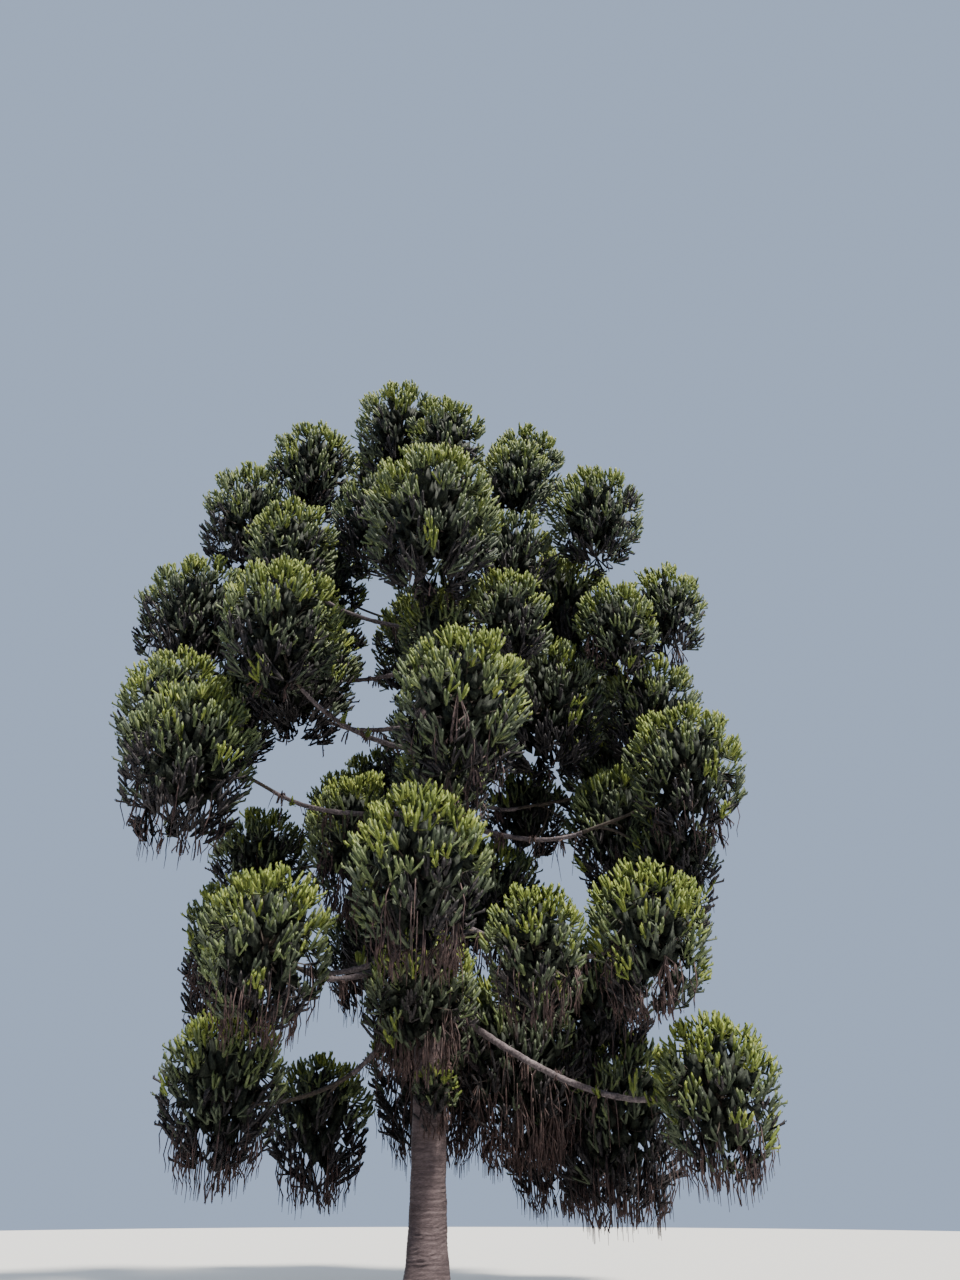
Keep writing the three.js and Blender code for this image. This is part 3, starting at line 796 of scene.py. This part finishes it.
def clearOfLimbs(points, clearance):
    low = points.min(axis=0) - roomSettings["search"]
    high = points.max(axis=0) + roomSettings["search"]
    near = np.all((limbPoints > low) & (limbPoints < high), axis=1)
    if not near.any():
        return np.ones(len(points), dtype=bool)
    gaps = np.linalg.norm(points[:, None] - limbPoints[None, near], axis=2) - limbRadii[None, near]
    return gaps.min(axis=1) > clearance


def fits(tuft, boundaries, points, clearance):
    normals, distances = boundaries
    inSpace = ((points - tuft.centre) @ normals.T < distances[None]).all(axis=1)
    return inSpace & clearOfLimbs(points, clearance)


# Foliage: shoots like thick cords, clad in pointed scale leaves, in clumps on twigs

foliageSettings = {
    "typicalHalfWidth": 1.1,  # of a tuft with the counts below
    "clumps": 30,
    "fewestClumps": 7,
    "clumpReach": (0.96, 1.03),
    "lowestClump": -0.78,  # as a sine, from the tuft's centre
    "firstClump": 0.3,  # of a step down from the top
    "outer": 343,  # shoots on its outside, each with one side shoot
    "inner": 130,  # bare ones that fill its middle, near black as painted shade
    "lowest": -0.95,
    "scatter": 0.05,
    "gathering": 0.3,  # how far shoots crowd to the middle of their clump
    "domeDepth": 0.12,  # how far the hollows between clumps fall back
    "domeEnd": 1.3,
    "reachNoise": (-0.03, 0.02),
    "innerReach": (0.42, 0.74),
    "mostReach": 1.02,
    "turnNoise": 0.18,
    "lean": (0.05, 0.5),  # outward, on the top and at the bottom
    "leanFrom": 0.9,
    "leanOver": 1.5,
    "liftLost": 0.5,  # at the bottom
    "growNoise": 0.08,
    "shootLength": 0.36,
    "lengths": (0.8, 1.2),
    "upPart": 0.66,  # of a shoot, growing up
    "outPart": 0.58,  # before it, growing outward
    "hubDrop": 0.25,  # of the twigs' hub, in half widths
    "twigReach": 0.72,
    "rootRange": (0.3, 1.0),  # along a twig
    "thinBelow": -0.6,  # as a sine, where some shoots are left out
    "thinning": 0.2,
    "seed": 70,
    "seedStep": 10,  # from row to row
}
deadSettings = {
    "drop": (0.7, 1.0),
    "outward": 0.4,
    "length": 0.85,  # to a live one's
    "bendPlace": 0.45,
    "bendSag": 0.4,
}


def spiralDirections(count, lowest, phase, first=0.5):
    steps = np.arange(count)
    level = 1.0 + (lowest - 1.0) * (steps + first) / count
    turn = phase + steps * goldenAngle
    flat = np.sqrt(1.0 - level**2)
    return np.stack([flat * np.cos(turn), flat * np.sin(turn), level], axis=1)


def placeShoots(tuft, random):
    settings = foliageSettings
    size = tuft.halfWidth / settings["typicalHalfWidth"]
    clumpCount = max(settings["fewestClumps"], round(settings["clumps"] * size))
    phase = random.random() * fullTurn
    clumps = spiralDirections(clumpCount, settings["lowestClump"], phase, settings["firstClump"])
    clumpReach = random.uniform(*settings["clumpReach"], clumpCount)
    outer = round(settings["outer"] * size**2)
    inner = round(settings["inner"] * size**2)
    directions = np.concatenate([
        spiralDirections(count, settings["lowest"], random.random() * fullTurn)
        for count in (outer, inner)
    ])
    directions = unit(directions + random.normal(0.0, settings["scatter"], directions.shape))
    isInner = np.arange(len(directions)) >= outer
    facing = directions @ clumps.T
    clump = facing.argmax(axis=1)
    away = np.arccos(np.clip(facing.max(axis=1), -1.0, 1.0))
    spread = math.sqrt(2.0 * (1.0 - settings["lowest"]) / clumpCount)
    directions = unit(blend(directions, clumps[clump], settings["gathering"]))
    hollow = np.clip(away / spread, 0.0, settings["domeEnd"]) ** 2
    reach = clumpReach[clump] - settings["domeDepth"] * hollow
    reach = reach + random.uniform(*settings["reachNoise"], len(reach))
    innerReach = reach * random.uniform(*settings["innerReach"], len(reach))
    reach = np.minimum(np.where(isInner, innerReach, reach), settings["mostReach"])
    tips = tuft.pointOn(directions, reach[:, None])
    level = directions[:, 2]
    noise = random.normal(0.0, settings["turnNoise"], directions.shape)
    outward = unit((directions + noise) * [1, 1, 0])
    lowness = np.clip((settings["leanFrom"] - level) / settings["leanOver"], 0.0, 1.0)
    lean = blend(*settings["lean"], lowness)
    lift = 1.0 + settings["liftLost"] * np.minimum(level, 0.0)
    noise = random.normal(0.0, settings["growNoise"], tips.shape)
    grow = unit(outward * lean[:, None] + upward * lift[:, None] + noise)
    lengths = random.uniform(*settings["lengths"], len(tips))[:, None]
    length = settings["shootLength"] * math.sqrt(size) * lengths
    start = tips - length * (settings["upPart"] * grow + settings["outPart"] * outward)
    bend = tips - length * settings["upPart"] * grow
    hub = tuft.centre - upward * settings["hubDrop"] * tuft.halfWidth
    twigEnds = tuft.pointOn(clumps, clumpReach[:, None] * settings["twigReach"])
    axis = twigEnds[clump] - hub
    part = ((start - hub) * axis).sum(axis=1) / (axis**2).sum(axis=1)
    roots = hub + axis * np.clip(part, *settings["rootRange"])[:, None]
    return {
        "tips": tips, "bend": bend, "start": start, "roots": roots, "level": level, "inner": isInner,
        "clump": clump, "away": away, "outward": outward, "length": length, "hub": hub,
        "twigEnds": twigEnds,
    }


def turnDead(shoots, dead, random):
    # a dead shoot hangs from its twig, where a live one turns up
    settings = deadSettings
    drop = random.uniform(*settings["drop"], len(dead))[:, None]
    hang = unit(shoots["outward"] * settings["outward"] - upward * drop)
    length = shoots["length"] * settings["length"]
    start = shoots["start"]
    tips = start + length * hang
    heading = unit(shoots["outward"] + hang * settings["bendSag"])
    bend = start + length * settings["bendPlace"] * heading
    shoots["tips"] = np.where(dead[:, None], tips, shoots["tips"])
    shoots["bend"] = np.where(dead[:, None], bend, shoots["bend"])


# Kinds of shoot, stepping darker down each tuft as painted light and shade: fresh growth with painted
# sunlight on the top, green, and grey with painted shade round the sides, painted shade under, dead at the
# bottom

dealSettings = {
    "noise": 0.2,
    "clumpNoise": 0.15,
    "drawnClumps": 64,  # more than the widest tuft has
    # the steps from fresh to green, grey and shade paint each tuft's sunlit top and shaded underside
    "freshAbove": 0.25,  # these heights are sines, from the tuft's centre; fresh above it, with painted sunlight
    "greyBelow": -0.22,
    "shadeBelow": -0.6,
    "lowTufts": 12.0,  # metres up, with more dead shoots
    "lowFade": 8.0,
    "deadBelow": (-1.1, -0.8),  # on high and on low tufts
    "byTrunk": (1.0, 2.0),  # metres from it, where low tufts have most
    "byTrunkLowness": 0.4,
    "deadByTrunk": -0.45,
    "deadClump": 0.27,  # of a clump's noise
    "deadClumpBelow": -0.3,
    "leastRise": 0.3,  # in metres, of a tuft that shades another
    "paintedCoverShade": 0.5,  # painted shade, as lost height, of a fully covered tuft
    "youngPart": 0.14,  # of a tuft's lower clumps, which are fresh in their middle
    "youngSize": 0.2,  # radians from the clump's middle
}


def coverOver(tuft):
    # how much other tufts stand between this one and the sun, from 0 to 1, for the painted shade of
    # dealKinds
    slant = np.array(lightSettings["sunFrom"][:2]) / lightSettings["sunFrom"][2]
    cover = 0.0
    for other in allTufts:
        rise = other.centre[2] - tuft.centre[2]
        if rise > dealSettings["leastRise"]:
            away = np.linalg.norm((other.centre - tuft.centre)[:2] - rise * slant)
            cover += max(0.0, 1.0 - away / (other.halfWidth + tuft.halfWidth / 2))
    return min(cover, 1.0)


def deadHeight(tuft):
    # the height on a tuft, as a sine, under which its shoots are dead
    settings = dealSettings
    lowness = np.clip((settings["lowTufts"] - tuft.centre[2]) / settings["lowFade"], 0.0, 1.0)
    fromTrunk = np.linalg.norm(tuft.centre - trunkCentre(tuft.centre[2]))
    nearest, farthest = settings["byTrunk"]
    if lowness > settings["byTrunkLowness"] and nearest < fromTrunk < farthest:
        return settings["deadByTrunk"]
    return blend(*settings["deadBelow"], lowness)


def dealKinds(tuft, shoots, random):
    settings = dealSettings
    level, clump = shoots["level"], shoots["clump"]
    cover = coverOver(tuft)
    noise = random.normal(0.0, settings["noise"], len(level))
    ofClump = random.normal(0.0, settings["clumpNoise"], settings["drawnClumps"])[clump]
    # covered tufts lose height, painted shade from the tufts between them and the sun
    height = level + noise + ofClump - settings["paintedCoverShade"] * cover
    # so the kinds step darker from the top to the underside: painted light and shade
    kinds = np.full(len(level), "green", dtype=object)
    kinds[height > settings["freshAbove"]] = "freshAndLit"
    kinds[height < settings["greyBelow"]] = "greyAndShaded"
    kinds[height < settings["shadeBelow"]] = "shade"
    kinds[level + noise < deadHeight(tuft)] = "dead"
    kinds[(ofClump > settings["deadClump"]) & (level < settings["deadClumpBelow"])] = "dead"
    youngClump = random.random(settings["drawnClumps"]) < settings["youngPart"] * (1.0 - cover)
    young = youngClump[clump] & (shoots["away"] < settings["youngSize"])
    kinds[young & (level < 0.0)] = "freshAndLit"
    kinds[shoots["inner"]] = "inner"
    return kinds


# Cords and leaves of each kind, the inner ones being bare and thick

cordSettings = {
    "radius": 0.03,
    "deadRadius": 0.018,
    "innerRadius": 0.12,
    "tip": 0.9,  # its length, in radii
    "nudge": 1e-6,  # so that a root at its start has a heading
    # a cord's rings as place and size, from its root on the twig, which has no place on the curve
    "rings": [(None, 0.5), (0.42, 0.95), (0.93, 1.0)],
    "sideRings": [(0.05, 0.6), (0.9, 1.0)],
    "innerRings": [(None, 0.5), (0.55, 1.0)],
    "sideSpread": (0.10, 0.17),
    "sideDrop": 0.3,  # at most, of the shoot's length
    "sidePlace": 0.35,  # along the shoot
    "sideBend": 0.45,
}
leafSettings = {
    "length": 0.053,
    "width": 0.047,
    "angle": 21.0,  # degrees off the cord
    "tipAngle": 0.45,  # of that angle, at the cord's tip
    "tipSize": 0.8,
    "first": 0.2,  # place on the cord, just under its lowest leaf
    "last": 0.96,
    "sunk": 0.5,  # where its edges start, in the cord's radii
    "keelHeight": 1.15,
    "keelPlace": 0.12,  # along the leaf
    "pointHeight": 0.75,
}
twigSettings = {"radius": 0.019, "taper": (1.4, 0.6), "sag": 0.12, "noise": 0.03, "rings": 4, "sides": 3}
leavesOf = {"freshAndLit": 3, "green": 3, "greyAndShaded": 3, "shade": 1, "dead": 2, "inner": 0}
sideLeavesOf = {"freshAndLit": 2, "green": 2, "greyAndShaded": 1, "shade": 1, "dead": 1}
# the bare inner cords take the heart finish, which is painted shade
finishOf = {kind: "heartShade" if kind == "inner" else kind for kind in leavesOf}
# the lower part of each cord takes the next darker finish, as painted shade
lowerPaintedShadeOf = {"freshAndLit": "green", "green": "greyAndShaded", "greyAndShaded": "shade", "shade": "shade", "dead": "dead"}
radiusOf = {"inner": cordSettings["innerRadius"], "dead": cordSettings["deadRadius"]}


def takeFaces(corners, faces):
    # the same faces of every cord, with only the corners that they use
    used, faces = np.unique(np.array(faces), return_inverse=True)
    offsets = np.arange(len(corners))[:, None, None] * len(used)
    return corners[:, used].reshape(-1, 3), (faces.reshape(1, -1, 3) + offsets).reshape(-1, 3)


def growCords(shoots, wanted, radius, rings, random):
    # three-sided cords from twig to tip, with their frames, for the leaves to stand on
    start, bend, tip, root = (shoots[key][wanted] for key in ("start", "bend", "tips", "roots"))

    def place(station):
        return (1 - station) ** 2 * start + 2 * (1 - station) * station * bend + station**2 * tip

    def heading(station):
        return unit(2 * (1 - station) * (bend - start) + 2 * station * (tip - bend))

    reference = random.normal(0.0, 1.0, (len(tip), 3))

    def cross(direction):
        first = unit(reference - direction * (reference * direction).sum(axis=1, keepdims=True))
        return first, np.cross(direction, first)

    corners = []
    for station, size in rings:
        if station is None:
            centre, direction = root, unit(start - root + cordSettings["nudge"])
        else:
            centre, direction = place(station), heading(station)
        first, second = cross(direction)
        for angle in anglesAround(3):
            corners.append(centre + radius * size * (first * math.cos(angle) + second * math.sin(angle)))
    corners = np.stack([*corners, tip + heading(1.0) * radius * cordSettings["tip"]], axis=1)
    # the cord's lowest segment goes apart, for the painted shade that dressShoots gives it
    lower, upper = [], []
    last = 3 * (len(rings) - 1)
    for base in range(0, last, 3):
        part = lower if base == 0 and last > 3 else upper
        for corner in range(3):
            after = (corner + 1) % 3
            part.append((base + corner, base + after, base + 3 + after))
            part.append((base + corner, base + 3 + after, base + 3 + corner))
    for corner in range(3):
        upper.append((last + corner, last + (corner + 1) % 3, last + 3))
    cords = [takeFaces(corners, part) for part in (lower, upper) if part]
    return cords, place, heading, cross


def growLeaves(place, heading, cross, radius, order, count, phase):
    # one leaf on every cord: two faces, folded along the keel
    settings = leafSettings
    station = blend(settings["first"], settings["last"], (order + 1) / count)
    direction = heading(station)
    first, second = cross(direction)
    turn = (phase + order * goldenAngle)[:, None]
    out = first * np.cos(turn) + second * np.sin(turn)
    wide = np.cross(direction, out)
    angle = math.radians(settings["angle"] * blend(1.0, settings["tipAngle"], station**3))
    size = blend(1.0, settings["tipSize"], station**2)
    length = settings["length"] * size
    half = settings["width"] / 2 * size
    centre = place(station)
    edge = centre + out * radius * settings["sunk"]
    keel = centre + out * radius * settings["keelHeight"] + direction * length * settings["keelPlace"]
    rise = radius * settings["pointHeight"] + length * math.sin(angle)
    point = centre + out * rise + direction * length * math.cos(angle)
    corners = np.stack([edge - wide * half, keel, edge + wide * half, point], axis=1)
    offsets = np.arange(len(centre))[:, None, None] * 4
    faces = (np.array([(0, 1, 3), (1, 2, 3)])[None] + offsets).reshape(-1, 3)
    return corners.reshape(-1, 3), faces


def growTwigs(shoots, random):
    settings = twigSettings
    hub = shoots["hub"]
    handlePart = 0.66  # a cubic curve's handles on the way to its middle
    stations = np.linspace(0, 1, settings["rings"])
    radii = settings["radius"] * np.linspace(*settings["taper"], settings["rings"])
    shapes = []
    for end in shoots["twigEnds"]:
        offset = end - hub
        middle = hub + offset / 2 - upward * settings["sag"] * np.linalg.norm(offset)
        middle = middle + random.normal(0.0, settings["noise"], 3)
        handles = [hub, blend(hub, middle, handlePart), blend(end, middle, handlePart), end]
        shapes.append(tube(bezier(handles, stations), radii, settings["sides"]))
    return shapes


def dressShoots(shoots, kinds, inside, shapes, random, cordRadius, rings="rings", leaves=leavesOf):
    for kind, count in leaves.items():
        wanted = inside & (kinds == kind)
        if not wanted.any():
            continue
        radius = radiusOf.get(kind, cordRadius)
        ofKind = cordSettings["innerRings" if kind == "inner" else rings]
        cords, place, heading, cross = growCords(shoots, wanted, radius, ofKind, random)
        phase = random.random(wanted.sum()) * fullTurn
        shapes[finishOf[kind]].append(cords[-1])
        # the cord's lower part in a darker finish, as painted shade
        if len(cords) > 1:
            shapes[lowerPaintedShadeOf[kind]].append(cords[0])
        for order in range(count):
            shapes[kind].append(growLeaves(place, heading, cross, radius, order, count, phase))


def sideShoots(shoots, random):
    # beside each shoot another, which grows from its lower part
    settings = cordSettings
    start, bend, tips, length = (shoots[key] for key in ("start", "bend", "tips", "length"))
    grow = unit(tips - bend)
    aside = unit(np.cross(grow, random.normal(0.0, 1.0, tips.shape)))
    spread = random.uniform(*settings["sideSpread"], len(tips))[:, None]
    drop = settings["sideDrop"] * random.random((len(tips), 1))
    newTips = tips + aside * spread - grow * length * drop
    newBend = newTips - grow * length * settings["sideBend"]
    place = settings["sidePlace"]
    newStart = blend(blend(start, bend, place), blend(bend, tips, place), place)
    return {"tips": newTips, "bend": newBend, "start": newStart, "roots": newStart}


def dressTuft(tuft, shapes, twigShapes, random):
    room = roomSettings
    shoots = placeShoots(tuft, random)
    kinds = dealKinds(tuft, shoots, random)
    turnDead(shoots, kinds == "dead", random)
    boundaries = boundariesOf(tuft)
    inside = fits(tuft, boundaries, shoots["tips"], room["limbGap"])
    inside &= fits(tuft, boundaries, shoots["bend"], room["limbGap"])
    inside &= (tuft.nearness(shoots["tips"]) < room["tipLimit"]) | (kinds == "dead")
    high = shoots["level"] > foliageSettings["thinBelow"]
    inside &= high | (random.random(len(kinds)) > foliageSettings["thinning"])
    for other in tuftsOf[tuft.name]:
        if other is not tuft:
            inside &= other.nearness(shoots["tips"]) > room["otherTuft"]
    twigShapes.extend(growTwigs(shoots, random))
    radius = cordSettings["radius"]
    dressShoots(shoots, kinds, inside, shapes, random, radius)
    beside = sideShoots(shoots, random)
    inside &= fits(tuft, boundaries, beside["tips"], room["limbGap"])
    inside &= tuft.nearness(beside["tips"]) < room["sideTipLimit"]
    dressShoots(beside, kinds, inside, shapes, random, radius, "sideRings", sideLeavesOf)


# Fringes: clumps of shoots along the boughs, and dead twigs that hang from boughs, trunk and low tufts

clumpSettings = {
    "perMetre": 1.5,
    "places": 80,  # along the bough
    "firstPlace": 18,
    "crowding": 0.7,  # under 1, for more of them near the bough's end
    "seat": 0.8,  # of the bough's radius
    "shoots": (4, 9),
    "freshPart": 0.3,  # of the clumps, the rest being dead
    "reach": (0.14, 0.34),
    "spread": 0.5,
    "bend": 0.5,
    "outward": 0.6,
    "freshAndLitRise": 0.9,
    "deadRise": -1.0,
    "rises": (0.6, 1.0),
    "radius": 0.026,
    "rootDrop": 0.01,
    "seed": 33,
}
stringSettings = {
    "perMetre": 5.0,  # of the lower boughs
    "below": 9.5,  # a foot's height, in metres
    "firstPlace": 10,
    "length": (0.25, 0.95),
    "shortening": 1.6,  # over 1, for more short ones
    "trunk": 260,
    "trunkHeights": (3.3, 6.6),
    "trunkCrowding": 0.8,
    "trunkSunk": 0.9,
    "trunkSpread": 0.34,
    "spreadPower": 2.5,
    "radius": 0.011,
    "sides": 3,
    "swing": 0.09,
    "swingUp": 0.3,
    "longestPush": 0.5,  # metres of twig, past which it reaches out no further
    "dropPower": 1.3,
    # how far down, how far out, and how thick
    "stations": [(0.0, 0.0, 1.0), (0.25, 0.22, 1.0), (0.6, 0.30, 0.8), (1.0, 0.32, 0.35)],
}
drapeSettings = {
    "below": 10.5,  # a tuft's height, in metres
    "fade": 5.0,
    "count": 62,  # on the lowest tufts of the typical half width
    "slope": (-1.7, -0.4),  # from the tuft's centre to its start
    "fall": (0.2, 0.8),
    "end": (0.08, 0.3),  # how far its end hangs straight down
    "stations": [(0.0, 0.84), (0.4, 0.99), (0.8, 1.02)],  # part of the fall, and reach
    "sizes": [1.0, 1.0, 0.8, 0.35],
    "limbGap": 0.02,
}


def hangingStrings(roots, outward, lengths, random):
    # thin dead twigs that leave their limb sideways and hang
    settings = stringSettings
    swing = random.normal(0.0, settings["swing"], roots.shape) * [1, 1, settings["swingUp"]]
    radii = [settings["radius"] * size for _, _, size in settings["stations"]]
    shapes = []
    for index, length in enumerate(lengths):
        points = np.array([
            roots[index] + outward[index] * push * min(settings["longestPush"], length)
            + swing[index] * drop - upward * drop ** settings["dropPower"] * length
            for drop, push, _ in settings["stations"]
        ])
        shapes.append(tube(points, radii, settings["sides"], sideways))
    return shapes


def boughClumps(bough, points, random, shapes):
    settings = clumpSettings
    lastPlace = settings["places"] - 1
    _, normals, binormals = ringsAlong(points)
    roots, bends, tips, kinds = [], [], [], []
    for _ in range(round(lengthOf(bough["handles"]) * settings["perMetre"])):
        outermost = random.random() ** settings["crowding"]
        place = int(blend(settings["firstPlace"], lastPlace, outermost))
        turn = random.random() * fullTurn
        out = normals[place] * math.cos(turn) + binormals[place] * math.sin(turn)
        kind = "freshAndLit" if random.random() < settings["freshPart"] else "dead"
        seat = points[place] + out * blend(bough["root"], bough["tip"], place / lastPlace) * settings["seat"]
        for _ in range(random.integers(*settings["shoots"])):
            reach = blend(*settings["reach"], random.random())
            away = unit(out + random.normal(0.0, settings["spread"], 3))
            rise = upward * settings[kind + "Rise"] * reach * random.uniform(*settings["rises"])
            roots.append(seat)
            bends.append(seat + away * reach * settings["bend"])
            tips.append(seat + away * reach * settings["outward"] + rise)
            kinds.append(kind)
    shoots = {"start": np.array(roots), "bend": np.array(bends), "tips": np.array(tips)}
    shoots["roots"] = shoots["start"] - upward * settings["rootDrop"]
    kinds = np.array(kinds, dtype=object)
    everyOne = np.ones(len(kinds), dtype=bool)
    dressShoots(shoots, kinds, everyOne, shapes, random, settings["radius"])


def boughStrings(bough, points, random):
    settings = stringSettings
    if bough["foot"] > settings["below"]:
        return []
    count = round(lengthOf(bough["handles"]) * settings["perMetre"])
    place = random.integers(settings["firstPlace"], len(points), count)
    out = levelDirections(random.uniform(0, fullTurn, count))
    lengths = blend(*settings["length"], random.random(count) ** settings["shortening"])
    return hangingStrings(points[place], out, lengths, random)


def trunkStrings(random):
    settings = stringSettings
    count = settings["trunk"]
    height = blend(*settings["trunkHeights"], random.random(count) ** settings["trunkCrowding"])
    out = levelDirections(random.uniform(0, fullTurn, count))
    away = trunkRadius(height) * settings["trunkSunk"]
    away = away + settings["trunkSpread"] * random.random(count) ** settings["spreadPower"]
    lengths = blend(*settings["length"], random.random(count))
    return hangingStrings(trunkCentre(height) + out * away[:, None], out, lengths, random)


def drapeTuft(tuft, random):
    # dead twigs that hang down the lower half of a low tuft
    settings = drapeSettings
    size = tuft.halfWidth / foliageSettings["typicalHalfWidth"]
    lowness = np.clip((settings["below"] - tuft.centre[2]) / settings["fade"], 0.0, 1.0)
    boundaries = boundariesOf(tuft)
    radii = stringSettings["radius"] * np.array(settings["sizes"])
    shapes = []
    for _ in range(round(settings["count"] * size**2 * lowness)):
        turn = random.random() * fullTurn
        slope = random.uniform(*settings["slope"])
        direction = unit(levelDirections(turn) + upward * slope)
        fall = random.uniform(*settings["fall"])
        points = [
            tuft.pointOn(unit(direction - upward * fall * drop), reach)
            for drop, reach in settings["stations"]
        ]
        points.append(points[-1] - upward * blend(*settings["end"], random.random()))
        points = np.array(points)
        if fits(tuft, boundaries, points, settings["limbGap"]).all():
            shapes.append(tube(points, radii, stringSettings["sides"], sideways))
    return shapes


def addShoots(start, shapes, replaced=()):
    # one piece for each kind that has any; a level's green one stands for its tufts
    for kind, parts in shapes.items():
        if parts:
            name = start + kind.capitalize() + "Shoots"
            nodes = replaced if kind == "green" else ()
            addPiece(name, gather(parts), finishes[kind], True, nodes)


fringeRandom = np.random.default_rng(clumpSettings["seed"])
fringeShapes = {kind: [] for kind in shootKinds}
stringShapes = trunkStrings(fringeRandom)
for bough in boughs.values():
    boughPoints = evenlyAlong(bough["handles"], clumpSettings["places"])
    boughClumps(bough, boughPoints, fringeRandom, fringeShapes)
    stringShapes += boughStrings(bough, boughPoints, fringeRandom)
for tuft in allTufts:
    stringShapes += drapeTuft(tuft, fringeRandom)
addShoots("bough", fringeShapes)
addPiece("hangingTwigs", gather(stringShapes), finishes["dead"], True)
print("fringes grown")


# The crown, level by level, in place of the masses

for levelName in levelNames:
    shapes = {kind: [] for kind in shootKinds}
    twigShapes = []
    replaced = []
    for rowIndex, (name, _, _) in enumerate(rows):
        if name.split("_")[0] != levelName:
            continue
        replaced.append("tuft_" + name)
        rowSeed = foliageSettings["seed"] + foliageSettings["seedStep"] * rowIndex
        for tuft in tuftsOf[name]:
            dressTuft(tuft, shapes, twigShapes, np.random.default_rng(rowSeed + tuft.order))
    addShoots(levelName, shapes, replaced)
    addPiece(levelName + "Twigs", gather(twigShapes), finishes["twigBark"], False)
print("foliage grown")
